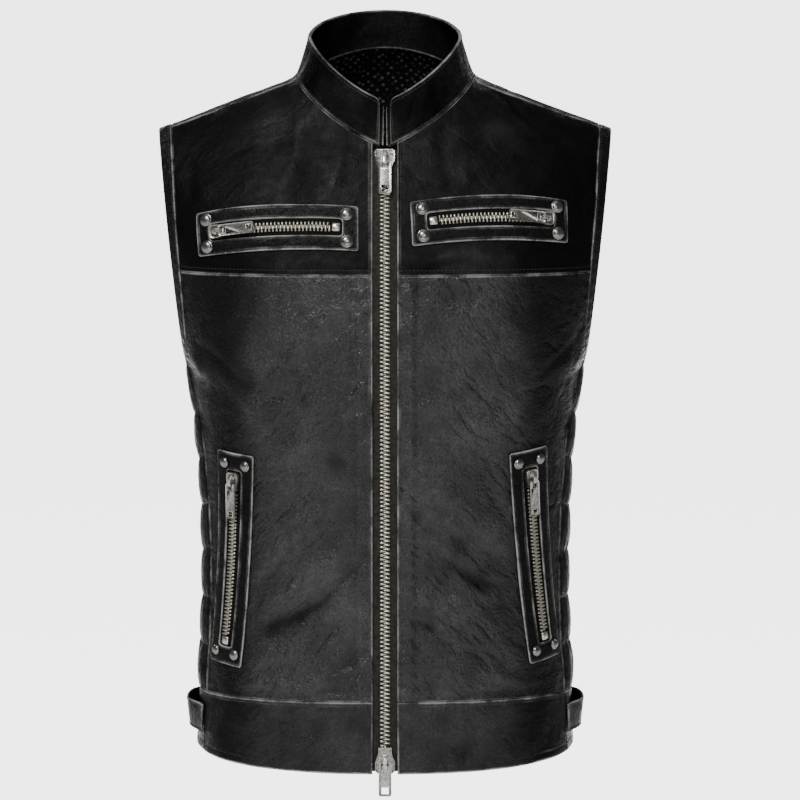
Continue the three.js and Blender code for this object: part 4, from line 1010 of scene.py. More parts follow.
teeth_metal = metal_material("antique_teeth", (0.68, 0.65, 0.56), (0.2, 0.18, 0.14), 0.3)
tape_cloth = woven_material("zip_tape_weave", (0.018, 0.0176, 0.0145), (0.105, 0.102, 0.084), 300.0)
dark_tape = woven_material("pocket_tape_weave", (0.003, 0.003, 0.0028), (0.02, 0.019, 0.016), 300.0)
lining_mesh = mesh_material("lining_mesh", (0.003, 0.003, 0.0032), (0.11, 0.112, 0.115))
thread = thread_material("thread", (0.01, 0.01, 0.01), (0.05, 0.049, 0.047))


# Stitches

STITCH = {"length": 2.9, "pitch": 3.7, "half": 0.32, "sink": 0.06}
stitch_frames = []


def line_frames(line, up, pitch):
    """Places along a line at equal spacing, each with its directions along, across and up."""
    reach = reach_of(line)
    places = np.arange(pitch / 2, reach[-1] - pitch / 4, pitch)

    def read(rows, at):
        return np.stack([np.interp(at, reach, rows[:, k]) for k in range(3)], -1)

    along = unit(read(line, places + 0.3) - read(line, places - 0.3))
    normal = read(up, places)
    normal = unit(normal - along * (normal * along).sum(-1, keepdims=True))
    return read(line, places), along, np.cross(normal, along), normal


def sew(outer, distances, border, offset, normal):
    """Stitches along a border of a grid, at a distance from it."""
    d = distances[border]
    across = border in ("left", "right")
    rows = range(d.shape[0]) if across else range(d.shape[1])
    points, ups = [], []
    for k in rows:
        far = d[k] if across else d[:, k]
        line = outer[k] if across else outer[:, k]
        up = normal[k] if across else normal[:, k]
        if border in ("right", "top"):
            far, line, up = far[::-1], line[::-1], up[::-1]
        points.append([np.interp(offset, far, line[:, c]) for c in range(3)])
        ups.append([np.interp(offset, far, up[:, c]) for c in range(3)])
    stitch_frames.append(line_frames(np.array(points), np.array(ups), STITCH["pitch"]))


def repeated(frames, shape_points, shape_faces):
    """Copies of a small shape, given along, across and up, at each frame."""
    p, along, across, up = (part[:, None, :] for part in frames)
    s = np.asarray(shape_points)
    points = p + along * s[None, :, :1] + across * s[None, :, 1:2] + up * s[None, :, 2:]
    shift = np.arange(len(p)) * len(s)
    faces = [[v + k for v in face] for k in shift for face in shape_faces]
    return points.reshape(-1, 3), faces


def bead(stations, sides):
    """A closed bar along x through oval rings, each (x, half width, half height, lift)."""
    points, faces = [], []
    for x, wide, high, lift in stations:
        for k in range(sides):
            turn = 2 * math.pi * (k + 0.5) / sides
            points.append([x, wide * math.cos(turn), lift + high * math.sin(turn)])
    for j in range(len(stations) - 1):
        for k in range(sides):
            a, b = j * sides + k, j * sides + (k + 1) % sides
            faces.append([a, b, b + sides, a + sides])
    faces.append(list(range(sides))[::-1])
    faces.append([(len(stations) - 1) * sides + k for k in range(sides)])
    return points, [face[::-1] for face in faces]


# Leather pieces

def wear_and_painted_light_share(p, folds, level):
    """How pale the leather is, partly from rubbing and partly as painted light: most in the middle of the
    fronts and on raised folds, with painted shade towards the sides and in troughs.
    """
    middle = np.clip((PALE_HALF - np.abs(p[..., 0])) / PALE_FADE, 0, 1)
    middle = middle * middle * (3 - 2 * middle)
    return level * (PALE_LEAST + (1 - PALE_LEAST) * middle) * np.clip(0.66 + 0.22 * folds, 0.15, 1.5)


def lay_cloth(name, base, seams, material, wear_and_painted_light=0.4, proud=0.0, thickness=LEATHER, puff=None, strength=1.0):
    """A panel on the cloth, with folds and seams."""
    normal = normals(base)
    distances = edge_distances(base)
    relief, rub = seam_relief(distances, seams)
    folds = cloth_relief(base, strength)
    extra, extra_rub = puff(distances, base) if puff else (0, 0)
    outer = base + normal * (proud + folds + relief + extra)[..., None]
    inner = base + normal * (proud + folds - thickness)[..., None]
    # Paleness from rubbing, with painted light in the middle and on raised folds and puffs, and painted shade
    # towards the sides and in troughs
    worn = wear_and_painted_light_share(base, folds + 0.5 * extra, wear_and_painted_light)
    piece = shell(name, outer, inner, material, np.maximum(rub, extra_rub), wear_and_painted_light=worn)
    for border, _, _, stitch, _ in seams:
        if stitch:
            sew(outer, distances, border, stitch, normal)
    return piece


def zip_ridge(distances, base):
    """The fold of the facing beside the zip, with small puckers that run in from it."""
    d, run = distances["left"], distances["bottom"]
    waves = uneven_waves(run, 11, 71, 2.2)
    uneven = np.clip(0.55 + 0.75 * wave(run, 118, 0.6), 0, 1.3)
    height = 1.1 * hump(d, 12, 4) - 0.9 * hump(d, 18.5, 3) + 0.7 * waves * uneven * hump(d, 11, 8)
    rub = 0.3 * hump(d, 13.5, 1.4) * np.clip(waves * 0.5 + 0.3, 0, 1)
    fade = np.clip(distances["top"] / 12, 0, 1) * np.clip(distances["bottom"] / 12, 0, 1)
    share = fade * (1 - pocket_cover(base))
    return height * share, rub * share


def quilting(distances, base):
    """Level channels that puff out between lines of stitches."""
    across = distances["left"] / (distances["left"] + distances["right"])
    up = distances["bottom"] / (distances["bottom"] + distances["top"])
    phase = up * QUILT_CHANNELS
    channel = np.abs(np.sin(math.pi * phase))
    edge = np.clip(6 * np.minimum(across, 1 - across), 0, 1)
    puff = QUILT_PUFF * np.sqrt(channel) * np.sqrt(edge)
    run = distances["left"]
    tucks = 0.45 * wave(run, 12, 1.3 * np.sin(run / 9 + np.round(phase) * 2.1)) * (1 - channel) * edge
    rub = 0.5 * hump(channel, 0, 0.09) * (distances["bottom"] > 3) * (distances["top"] > 3)
    return puff + tucks, rub


# Seams of the panels: border, drop radius, rub, stitch distance and pucker
YOKE_SEAMS = [
    ("left", 1.2, 1.0, 3.2, 0.12),
    ("right", 1.0, 0.45, 0, 0.25),
    ("bottom", 1.1, 0.8, 5.0, 0.16),
    ("top", 0.7, 0.75, 0, 0.3),
]
LOWER_SEAMS = [
    ("left", 1.2, 1.0, 3.2, 0.12),
    ("right", 1.1, 0.6, 0, 0.4),
    ("bottom", 1.1, 0.7, 0, 0.3),
    ("top", 1.0, 0.75, 0, 0.18),
]
SIDE_SEAMS = [
    ("left", 1.1, 0.6, 0, 0.2),
    ("right", 1.1, 0.6, 0, 0.2),
    ("bottom", 1.1, 0.6, 0, 0),
    ("top", 1.0, 0.4, 0, 0),
]
# The level given to each panel sets how pale it is: partly how rubbed it is, partly painted shade, as on the
# darker yoke
PANELS = [
    ("yoke", "front_yoke", yoke_grid, PANEL_STEP, YOKE_SEAMS, smooth_leather, {"wear_and_painted_light": 0.3}),
    (
        "lower", "front_lower", lower_front_grid, PANEL_STEP, LOWER_SEAMS, pebbled_leather,
        {"wear_and_painted_light": 0.9, "puff": zip_ridge},
    ),
    (
        "side", "side_panel", side_panel_grid, QUILT_STEP, SIDE_SEAMS, smooth_leather,
        {"wear_and_painted_light": 0.5, "puff": quilting, "strength": 0.6},
    ),
]
for side, sign in SIDES.items():
    for name, solid, grid, step, seams, material, relief in PANELS:
        base = on_side(grid(step), sign)
        piece = lay_cloth(f"{name}_{side}", base, seams, material, **relief)
        declare_sheet(dress(piece, "leather", f"{solid}_{side}"), base)

half_back = half_back_grid(BACK_STEP)
back_base = np.concatenate([on_side(half_back, -1)[:, :0:-1], half_back], axis=1)
back_seams = [
    ("left", 1.1, 0.6, 0, 0.35),
    ("right", 1.1, 0.6, 0, 0.35),
    ("bottom", 1.1, 0.7, 0, 0.3),
    ("top", 1.1, 0.7, 3.0, 0.2),
]
back = lay_cloth("back_panel", back_base, back_seams, smooth_leather, wear_and_painted_light=0.6)
declare_sheet(dress(back, "leather", "back"), back_base)

# The lining lies inside the back. Its pattern of holes is laid out along and across it.
LINING_GAP = 0.6
LINING_THICKNESS = 1.0
lining_base = back_base[2:-2, 2:-2]
lining_folds = cloth_relief(lining_base)[..., None]
lining_normal = normals(lining_base)
lining_distances = edge_distances(lining_base)
lining_middle = lining_distances["left"] - (lining_distances["left"][:, -1:] / 2)
lining = shell(
    "back_lining",
    lining_base + lining_normal * (lining_folds - LEATHER - LINING_GAP),
    lining_base + lining_normal * (lining_folds - LEATHER - LINING_GAP - LINING_THICKNESS),
    lining_mesh,
    np.zeros(lining_base.shape[:2]),
    uv=np.stack([lining_middle, lining_distances["bottom"]], -1),
)
declare_sheet(dress(lining, "lining", "lining_back"), lining_base)


# Collar

COLLAR_ROUND = 1.3
# Points along the collar, as shares of its half: their step, and places near both ends
COLLAR_ALONG = 0.0055
COLLAR_FINE = (0.002, 0.004, 0.006, 0.009, 0.013)
CREASE_LEAN = 0.05
FAR_SHIFT = 0.93  # the far half has the same creases, a little nearer to its front
# Creases: share along the half, share of the height, half width, half height, rise
COLLAR_CREASES = np.array([
    [0.10, 0.45, 0.014, 0.3, -0.9],
    [0.16, 0.6, 0.02, 0.34, 0.8],
    [0.27, 0.5, 0.016, 0.4, -0.8],
    [0.36, 0.4, 0.02, 0.3, 0.7],
    [0.47, 0.5, 0.02, 0.45, -1.0],
    [0.55, 0.55, 0.022, 0.4, 0.9],
    [0.68, 0.45, 0.03, 0.35, -0.6],
    [0.82, 0.5, 0.03, 0.4, 0.6],
])


def collar_walls(front_x, heights, depth, share_end=1.0):
    """Points of the collar at shares of its height, for one half, and its outward directions."""
    start = share_where(lambda s: neck_line(s)[:, 0] > front_x)
    top_start = share_where(lambda s: collar_top(s)[:, 0] > front_x)
    shares = start + (share_end - start) * spaced(1, COLLAR_ALONG, COLLAR_FINE)
    foot = neck_line(shares)
    top = collar_top(top_start + (1 - top_start) * (shares - start) / (1 - start))
    up = top - foot
    out = unit((foot + top) * np.array([1, 1, 0]))
    outward = unit(np.cross(np.cross(up, out), up))
    lift = 2 * SEAM_GAP / np.linalg.norm(up, axis=-1)[:, None]
    corner = round_off(reach_of(foot), COLLAR_CORNER) / np.linalg.norm(up, axis=-1)
    rise = (lift + heights[None, :] * (1 - lift)) * (1 - corner[:, None])
    hollow = -COLLAR_HOLLOW * 4 * heights * (1 - heights)
    points = foot[:, None] + up[:, None] * rise[..., None]
    points = points + outward[:, None] * (hollow[None, :, None] - depth)
    return points, outward, shares


def whole_collar(half):
    return np.concatenate([half, on_side(half, -1)[-2::-1]], axis=0)


collar_heights = spaced(COLLAR_HEIGHT, COLLAR_STEP)
collar_half, outward, collar_shares = collar_walls(COLLAR_FRONT_X, collar_heights, 0.0)
collar_base = whole_collar(collar_half)
collar_out = whole_collar(np.repeat(outward[:, None], len(collar_heights), 1))
across = np.concatenate([collar_shares, 2 - collar_shares[-2::-1]])[:, None]
collar_fold = np.zeros(collar_base.shape[:2])
for place, level, width, high, rise in COLLAR_CREASES:
    for centre in (place, 2 - place * FAR_SHIFT):
        bend = across - centre - CREASE_LEAN * (collar_heights[None] - level)
        collar_fold += rise * hump(bend, 0, width) * hump(collar_heights[None], level, high)
collar_distances = edge_distances(collar_base)
collar_seams = [
    ("bottom", COLLAR_ROUND, 1.0, 3.2, 0),
    ("top", COLLAR_ROUND, 1.0, 3.2, 0),
    ("left", 0.6, 0.75, 2.2, 0.12),
    ("right", COLLAR_ROUND, 0.7, 4.0, 0.1),
]
collar_relief, collar_rub = seam_relief(collar_distances, collar_seams)
collar_outer = collar_base + collar_out * (collar_fold + collar_relief)[..., None]
inner_drop = round_off(collar_distances["right"], 1.2)
inner_lip = 0.7 * hump(collar_distances["left"], 0, 3)
collar_inner = collar_base + collar_out * (
    0.6 * collar_fold - COLLAR_THICKNESS + inner_drop - inner_lip
)[..., None]
collar_inner[..., 2] -= INNER_HANG * hump(collar_distances["left"], 0, 4)
inner_rub = 0.6 * np.maximum(
    hump(collar_distances["left"], 0.8, 0.9), hump(collar_distances["right"], 0, 1.6)
)
collar = shell("stand_collar", collar_outer, collar_inner, collar_leather, collar_rub, inside_rub=inner_rub)
declare_sheet(dress(collar, "leather", "collar"), collar_base)
for border, _, _, stitch, _ in collar_seams:
    sew(collar_outer, collar_distances, border, stitch, collar_out)

facing_heights = spaced(FACING_HEIGHT, COLLAR_STEP) * FACING_TOP
facing_depth = COLLAR_THICKNESS + 2 * SEAM_GAP
facing_walls, facing_outward, _ = collar_walls(FACING_FRONT_X, facing_heights, facing_depth, FACING_END)
for side, sign in SIDES.items():
    facing_base = on_side(facing_walls, sign)
    facing_out = on_side(facing_outward, sign)[:, None]
    facing_relief, facing_rub = seam_relief(edge_distances(facing_base), [("bottom", 0.5, 1.5, 0, 0)])
    facing = shell(
        f"facing_{side}",
        facing_base + facing_out * facing_relief[..., None],
        facing_base - facing_out * FACING_THICKNESS,
        collar_leather,
        facing_rub,
    )
    declare_sheet(dress(facing, "leather", f"collar_facing_{side}"), facing_base)


# Armhole bindings: a strip folded round the edge of the armhole

def binding_profile(inset):
    """Across the folded strip, from its outer foot round the edge to its inner foot."""
    radius = BINDING_ROUND - inset
    top = BINDING_PROUD - inset
    leg = np.linspace(-BINDING_WIDTH, -BINDING_ROUND, BINDING_LEG_POINTS)
    turn = np.linspace(0, math.pi, BINDING_TURN_POINTS)[1:-1]
    middle = BINDING_PROUD - BINDING_ROUND
    return np.array(
        [[u, top] for u in leg]
        + [[-BINDING_ROUND + radius * math.sin(t), middle + radius * math.cos(t)] for t in turn]
        + [[u, 2 * middle - top] for u in leg[::-1]]
    )


def binding_rings(inset, relief):
    """The strip's profile at each point of the armhole's edge, with a relief over it."""
    across = unit(armhole_edge - binding_line)
    up = unit(armhole_normal - across * (armhole_normal * across).sum(-1, keepdims=True))
    profile = binding_profile(inset)
    heights = profile[None, :, 1:] + relief[..., None]
    return armhole_edge[:, None] + across[:, None] * profile[None, :, :1] + up[:, None] * heights


binding_run = reach_of(np.vstack([armhole_edge, armhole_edge[:1]]))[:-1]
profile = binding_profile(0)
on_top = profile[:, 1] > BINDING_PROUD - 0.01
from_foot = profile[:, 0] + BINDING_WIDTH
tucks = 0.28 * uneven_waves(binding_run, 10.5, 57, 1.4)[:, None] * hump(from_foot, 5, 4)
binding_relief = on_top * (tucks - round_off(from_foot, 1.0) - 0.35 * hump(from_foot, BINDING_STITCH, 0.8))
edge_rub = 0.85 * hump(profile[:, 0], 0, 1.3)
foot_rub = 0.8 * hump(from_foot, 0, 1.4) * on_top
binding_rub = np.repeat(np.maximum(edge_rub, foot_rub)[None], ARMHOLE_POINTS // BINDING_EVERY, 0)
for side, sign in SIDES.items():
    outer = on_side(binding_rings(0, binding_relief), sign)[::BINDING_EVERY]
    inner = on_side(binding_rings(BINDING_LEATHER, np.zeros_like(binding_relief)), sign)[::BINDING_EVERY]
    piece = shell(f"binding_{side}", outer, inner, trim_leather, binding_rub, closed=True)
    dress(piece, "leather", f"armhole_binding_{side}")
    seam = np.argmin(np.abs(from_foot[:BINDING_LEG_POINTS] - BINDING_STITCH))
    ups = unit(outer[:, seam] - inner[:, seam])
    stitch_frames.append(line_frames(outer[:, seam], ups, STITCH["pitch"]))


# Waistband and side straps

def spoke(turn, z):
    """The torso's point in a direction from the middle as seen from above, at height z."""
    way = np.stack([np.sin(turn), -np.cos(turn), 0 * turn], -1)
    height = np.stack([0 * z, 0 * z, z], -1)
    low, high = np.zeros(turn.shape), np.full(turn.shape, SPOKE_REACH)
    for _ in range(HALVINGS):
        middle = (low + high) / 2
        within = torso(way * middle[..., None] + height) < 0
        low, high = np.where(within, middle, low), np.where(within, high, middle)
    return way * low[..., None] + height


BAND_RADIUS = 150
BAND_HEIGHT = 56


def band_grid(start, end, step):
    """A grid of the waistband between two turns round the torso."""
    turns = start + (end - start) * spaced(abs(end - start) * BAND_RADIUS, step)
    shares = spaced(BAND_HEIGHT, step)[:, None]
    y = spoke(turns, np.full(turns.shape, BAND_TOP_Z))[:, 1][None]
    z = hem_z(y) * (1 - shares) + (band_top_z(y) - HALF_GAP) * shares
    return spoke(np.broadcast_to(turns, z.shape), z)


turns = np.linspace(0, math.pi, 20001)
ring = spoke(turns, np.full(turns.shape, BAND_TOP_Z))
band_start = turns[np.argmax(ring[:, 0] > FRONT_EDGE_X)]
band_seam = turns[np.argmax(ring[:, 1] > column(SIDE_SEAM, 1, BAND_TOP_Z))]
SEAM_TURN = 0.0012  # half the gap at the side seams, as a turn
band_seams = [
    ("bottom", 0.8, 1.9, 7.5, 0.12),
    ("top", 1.2, 0.9, 3.0, 0.22),
]
front_band_seams = band_seams + [("left", 1.3, 1.0, 3.2, 0.12), ("right", 1.0, 0.3, 0, 0)]
for side, sign in SIDES.items():
    base = band_grid(sign * band_start, sign * (band_seam - SEAM_TURN), PANEL_STEP)
    piece = lay_cloth(
        f"band_front_{side}", base, front_band_seams, trim_leather, 0.75, BAND_PROUD, BAND_THICKNESS
    )
    declare_sheet(dress(piece, "leather", f"waistband_front_{side}"), base)
base = band_grid(band_seam + SEAM_TURN, 2 * math.pi - band_seam - SEAM_TURN, BAND_BACK_STEP)
piece = lay_cloth("band_back", base, band_seams, trim_leather, 0.7, BAND_PROUD, BAND_THICKNESS)
declare_sheet(dress(piece, "leather", "waistband_back"), base)

strap_start = column(SIDE_SEAM, 1, STRAP["top"]) + STRAP["inset"]
strap_end = column(SIDE_SEAM, 2, STRAP["top"]) + STRAP["reach"]
strap_length = strap_end - strap_start
strap_y = (strap_start + strap_length * spaced(strap_length, STRAP_STEP))[None, :]
strap_share = spaced(STRAP["height"], STRAP_STEP)[:, None]
strap_z = STRAP["top"] - STRAP["height"] * (1 - strap_share)
strap_base = side_at(strap_y + 0 * strap_z, strap_z + 0 * strap_y)
from_end = np.minimum(strap_y - strap_start, strap_end - strap_y) / STRAP["sewn"]
eased = np.clip((from_end - STRAP_FLAT) / STRAP_RISE, 0, 1)
bow = (STRAP_BOW[1] + (STRAP_BOW[0] - STRAP_BOW[1]) * strap_share) * eased**2 * (3 - 2 * eased)
strap_normal = normals(strap_base)
height = BAND_PROUD + SEAM_GAP + STRAP["thickness"] + bow
strap_seams = [
    ("bottom", 1.1, 0.9, 3.0, 0.08),
    ("top", 1.1, 0.9, 3.0, 0.08),
    ("left", 1.1, 0.9, 3.0, 0),
    ("right", 1.1, 0.9, 3.0, 0),
]
distances = edge_distances(strap_base + strap_normal * height[..., None])
relief, rub = seam_relief(distances, strap_seams)
for side, sign in SIDES.items():
    outer = on_side(strap_base + strap_normal * (height + relief)[..., None], sign)
    inner = on_side(strap_base + strap_normal * (height - STRAP["thickness"])[..., None], sign)
    piece = shell(f"strap_{side}", outer, inner, trim_leather, rub)
    declare_sheet(dress(piece, "leather", f"side_strap_{side}"), outer)
    for border, _, _, stitch, _ in strap_seams:
        sew(outer, distances, border, stitch, on_side(strap_normal, sign))


# Zips

def chain(line, normal, half, pitch, depth, lift):
    """Both rows of teeth along a line, the one half a pitch behind the other."""
    points, faces = [], []
    stations = [(half * x, pitch * wide, depth * high, 0) for x, wide, high in TOOTH]
    shape, shape_faces = bead(stations, TOOTH_SIDES)
    for side, shift in ((1, 0), (-1, pitch / 2)):
        reach = reach_of(line)
        start = np.array([np.interp(shift, reach, line[:, k]) for k in range(3)])
        part = np.vstack([start, line[reach > shift]])
        ups = np.vstack([normal[0], normal[reach > shift]])
        p, along, across, up = line_frames(part, ups, pitch)
        more, more_faces = repeated((p + up * lift, across * side, along * side, up), shape, shape_faces)
        shift_by = sum(len(x) for x in points)
        points.append(more)
        faces += [[v + shift_by for v in face] for face in more_faces]
    return np.vstack(points), faces


zip_top_z = -NECK_FRONT_DROP - 1
hem_front_z = HEM_SIDE_Z - HEM_FRONT_DIP
slider_top_z = zip_top_z - 1
slider_bottom_z = hem_front_z + 2


def zip_line(z0, z1, count):
    p = cloth_at(0, np.linspace(z0, z1, count), True)
    normal = normals(p)
    return p + normal * cloth_relief(p, 0.5)[..., None], normal


chain_top_z = slider_top_z - SLIDER_LENGTH - SEAM_GAP
chain_bottom_z = slider_bottom_z + SLIDER_LENGTH + SEAM_GAP
chain_line, chain_normal = zip_line(chain_top_z, chain_bottom_z, CHAIN_POINTS)
chain_lift = TAPE_TOP + CHAIN_PROUD - CHAIN_DEPTH / 2
points, faces = chain(chain_line, chain_normal, CHAIN_HALF, TOOTH_PITCH, CHAIN_DEPTH, chain_lift)
teeth = make_object("zip_teeth", points, faces, teeth_metal)
dress(teeth, "metal", "zip_chain")

tape_line, tape_normal = zip_line(zip_top_z - 2, hem_front_z + 3, TAPE_POINTS)
# Across one tape from the centre out: distance and height of the beaded edge over the flat tape
tape_x = np.array([0.25, 1.2, 2.4, 3.6, 4.8, 7, 9, 11, 13, 15, TAPE_HALF])
tape_lift = np.array([0.5, 0.9, 0.5, 0.1, 0, 0, 0, 0, 0, 0, 0])
for side, sign in SIDES.items():
    across = np.array([sign, 0, 0])
    middle = tape_line[:, None] + across * tape_x[None, :, None]
    outer = middle + tape_normal[:, None] * (TAPE_TOP + tape_lift)[None, :, None]
    inner = middle + tape_normal[:, None] * (TAPE_TOP - TAPE_THICKNESS)
    tape = shell(f"tape_{side}", outer, inner, tape_cloth, np.zeros(outer.shape[:2]))
    dress(tape, "tape", f"zip_tape_{side}")


def add_crown(shape, up, broad):
    """A bar that runs down from the top of a slider's bridge to its nose."""
    bridge = max(shape.faces, key=lambda face: face.calc_center_median().dot(up))
    middle, top = bridge.calc_center_median(), bridge.calc_center_median().dot(up)
    under = min(shape.faces, key=lambda face: face.calc_center_median().dot(up))
    nose = under.calc_center_median() - middle
    nose = (nose - up * nose.dot(up)).normalized()
    side = up.cross(nose)
    length = max((vert.co - middle).dot(nose) for vert in shape.verts) - CROWN["end"] * MM
    low = broad - top
    corners = []
    for across in (-CROWN["half"] * MM, CROWN["half"] * MM):
        for along, height in (
            (CROWN["start"] * MM, low),
            (length, low),
            (length, low + CROWN["low"] * MM),
            (CROWN["start"] * MM, 0),
        ):
            corners.append(shape.verts.new(middle + side * across + nose * along + up * height))
    a, b = corners[:4], corners[4:]
    for k in range(4):
        shape.faces.new([a[k], a[(k + 1) % 4], b[(k + 1) % 4], b[k]])
    shape.faces.new(a[::-1])
    shape.faces.new(b)
    bmesh.ops.recalc_face_normals(shape, faces=shape.faces)
    shape.normal_update()


FLAT_TURN = math.radians(3)  # faces that turn by less are one flat face
SHARP_TURN = math.radians(25)  # edges that turn by more are rounded
SHADED_TURN = math.radians(40)  # and by more than this are shaded as sharp
SAME_WAY = 0.99  # cosine to the broad face's direction above which a face counts as facing its way
SAME_LEVEL = 0.3


def metal_object(name, shape):
    mesh = bpy.data.meshes.new(name)
    shape.to_mesh(mesh)
    shape.free()
    mesh.materials.clear()
    mesh.materials.append(silver)
    mesh.polygons.foreach_set("use_smooth", [True] * len(mesh.polygons))
    mesh.set_sharp_from_angle(angle=SHADED_TURN)
    piece = bpy.data.objects.new(name, mesh)
    bpy.context.scene.collection.objects.link(piece)
    return piece


def refined(name, metal):
    """A metal CAD node with a sunk face inside a raised rim, and with its edges rounded."""
    shape = bmesh.new()
    shape.from_mesh(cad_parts[name].data)
    bmesh.ops.remove_doubles(shape, verts=shape.verts, dist=1e-6)
    if metal["rounding"]:
        bmesh.ops.dissolve_limit(shape, angle_limit=FLAT_TURN, verts=shape.verts, edges=shape.edges)
    shape.normal_update()
    broadest = max((face for face in shape.faces if face.normal.y < 0), key=lambda face: face.calc_area())
    up = broadest.normal.copy()
    broad = broadest.calc_center_median().dot(up)
    facing = [face for face in shape.faces if face.normal.dot(up) > SAME_WAY]
    sunk = [face for face in facing if abs(face.calc_center_median().dot(up) - broad) < SAME_LEVEL * MM]
    if "slider" in name:
        add_crown(shape, up, broad)
    patina = shape.verts.layers.float.new("patina")
    for vert in shape.verts:
        vert[patina] = 0 if vert.co.dot(up) > broad + MM else metal["patina"]
    bmesh.ops.inset_region(
        shape, faces=sunk, thickness=metal["rim"] * MM, depth=-metal["sunk"] * MM, use_even_offset=True
    )
    for vert in {vert for face in sunk for vert in face.verts}:
        vert[patina] = metal["sunk_patina"]
    if metal["rounding"]:
        sharp = [edge for edge in shape.edges if edge.calc_face_angle(0) > SHARP_TURN]
        bmesh.ops.bevel(
            shape, geom=sharp, offset=metal["rounding"] * MM, offset_type="OFFSET", segments=2, profile=0.6,
            affect="EDGES", clamp_overlap=True,
        )
    return metal_object(f"{name}_metal", shape)


SLIDER_METAL = {"rim": 1.2, "sunk": 0.6, "rounding": 0.35, "patina": 0.05, "sunk_patina": 0.65}
CROWN = {"half": 1.9, "start": 3.6, "end": 1.2, "low": 0.5}
PULL_METAL = {"rim": 0.8, "sunk": 0.4, "rounding": 0, "patina": 0.0, "sunk_patina": 0.4}
for name in ("zip_top", "zip_bottom", *POCKETS):
    dress(refined(f"{name}_slider", SLIDER_METAL), "metal", f"{name}_slider")
    dress(refined(f"{name}_pull", PULL_METAL), "metal", f"{name}_pull", body=f"{name}_pull")


# Pockets

def pocket_plane(pocket):
    """A function that gives places on a pocket's patch, by u along it, v across it and its rise."""
    p = cloth_at(pocket["x"], pocket["z"], True)
    normal = normals(p)
    level = unit(np.cross([0, 0, 1], normal))
    turn = pocket["turn"]
    along = level * math.cos(turn) + np.cross(normal, level) * math.sin(turn)
    up = unit(np.cross(normal, along))

    def place(u, v, rise=0.0):
        bowed = v + pocket["bow"] * (1 - (u / (pocket["width"] / 2)) ** 2)
        q = onto_torso(p + along * u[..., None] + up * bowed[..., None])
        n = normals(q)
        folds = bumps(FOLDS, q[..., 0], q[..., 2])
        return q + n * (folds + rise)[..., None], n

    return place


def rounded_loop(width, height, radius, counts):
    """Points round a rectangle with rounded corners, the same number on each side of any size."""
    a, b = width / 2 - radius, height / 2 - radius
    sides = [
        ((-a, -b), (a, -b), -90),
        ((a, -b), (a, b), 0),
        ((a, b), (-a, b), 90),
        ((-a, b), (-a, -b), 180),
    ]
    points = []
    for (start, end, turn), count in zip(sides, counts):
        facing = math.radians(turn)
        out = np.array([math.cos(facing), math.sin(facing)]) * radius
        for t in np.linspace(0, 1, count, endpoint=False):
            points.append(np.array(start) * (1 - t) + np.array(end) * t + out)
        for k in range(4):
            bend = facing + k / 4 * math.pi / 2
            points.append(np.array(end) + radius * np.array([math.cos(bend), math.sin(bend)]))
    return np.array(points)


def rivet_shape(radius, dome):
    """A domed rivet with a thin flange, as a turned profile."""
    shoulder = radius * RIVET_SHOULDER
    profile = [(radius, 0), (radius, 0.35), (radius * 0.93, 0.6), (shoulder, RIVET_FLANGE)]
    for k in range(1, RIVET_RINGS + 1):
        turn = k / RIVET_RINGS * math.pi / 2
        profile.append((shoulder * math.cos(turn), RIVET_FLANGE + (dome - RIVET_FLANGE) * math.sin(turn)))
    sides = RIVET_SIDES
    points, faces = [], []
    for r, z in profile[:-1]:
        for k in range(sides):
            turn = 2 * math.pi * k / sides
            points.append([r * math.cos(turn), r * math.sin(turn), z])
    points.append([0, 0, dome])
    for j in range(len(profile) - 2):
        for k in range(sides):
            a, b = j * sides + k, j * sides + (k + 1) % sides
            faces.append([a, b, b + sides, a + sides])
    last = (len(profile) - 2) * sides
    faces += [[last + k, last + (k + 1) % sides, len(points) - 1] for k in range(sides)]
    faces.append(list(range(sides))[::-1])
    return points, faces


def pocket_patch(name, pocket, window_width, place):
    """The leather patch, a ring on the cloth round the zip's window."""
    counts = (round(pocket["width"] / PANEL_STEP), PATCH_END_POINTS) * 2
    edge = rounded_loop(pocket["width"], pocket["height"], PATCH_CORNER, counts)
    hole = rounded_loop(window_width, pocket["window"], WINDOW_CORNER, counts)
    shares = spaced((pocket["height"] - pocket["window"]) / 2, PATCH_STEP)[None, :, None]
    loop = edge[:, None] * (1 - shares) + hole[:, None] * shares
    base, normal = place(loop[..., 0], loop[..., 1])
    distances = edge_distances(base)
    relief, rub = seam_relief(distances, PATCH_SEAMS)
    lip = 0.6 * hump(distances["right"], 0, 1.8)
    height = PATCH_CLEARANCE + PATCH_THICKNESS + relief + lip
    outer, inner = base + normal * height[..., None], base + normal * PATCH_CLEARANCE
    piece = shell(f"{name}_frame", outer, inner, trim_leather, rub, closed=True, wear_and_painted_light=0.06)
    dress(piece, "leather", f"{name}_patch")
    for border, _, _, stitch, _ in PATCH_SEAMS:
        sew(outer, distances, border, stitch, normal)


def pocket_rivets(name, pocket, place):
    """A domed rivet at each corner of the patch."""
    points, faces = rivet_shape(pocket["radius"], pocket["dome"])
    lift = PATCH_CLEARANCE + PATCH_THICKNESS + SEAM_GAP
    for k, (end, rise) in enumerate([(-1, -1), (-1, 1), (1, -1), (1, 1)]):
        u = np.array(end * (pocket["width"] / 2 - RIVET_INSET))
        seat, up = place(u, np.array(rise * pocket["rivet_rise"]), lift)
        east = unit(np.cross([0, 0, 1], up))
        north = np.cross(up, east)
        spots = seat + np.array(points) @ np.array([east, north, up])
        rivet = make_object(f"{name}_stud_{k + 1}", spots, faces, rivet_metal)
        dress(rivet, "metal", f"{name}_rivet_{k + 1}")


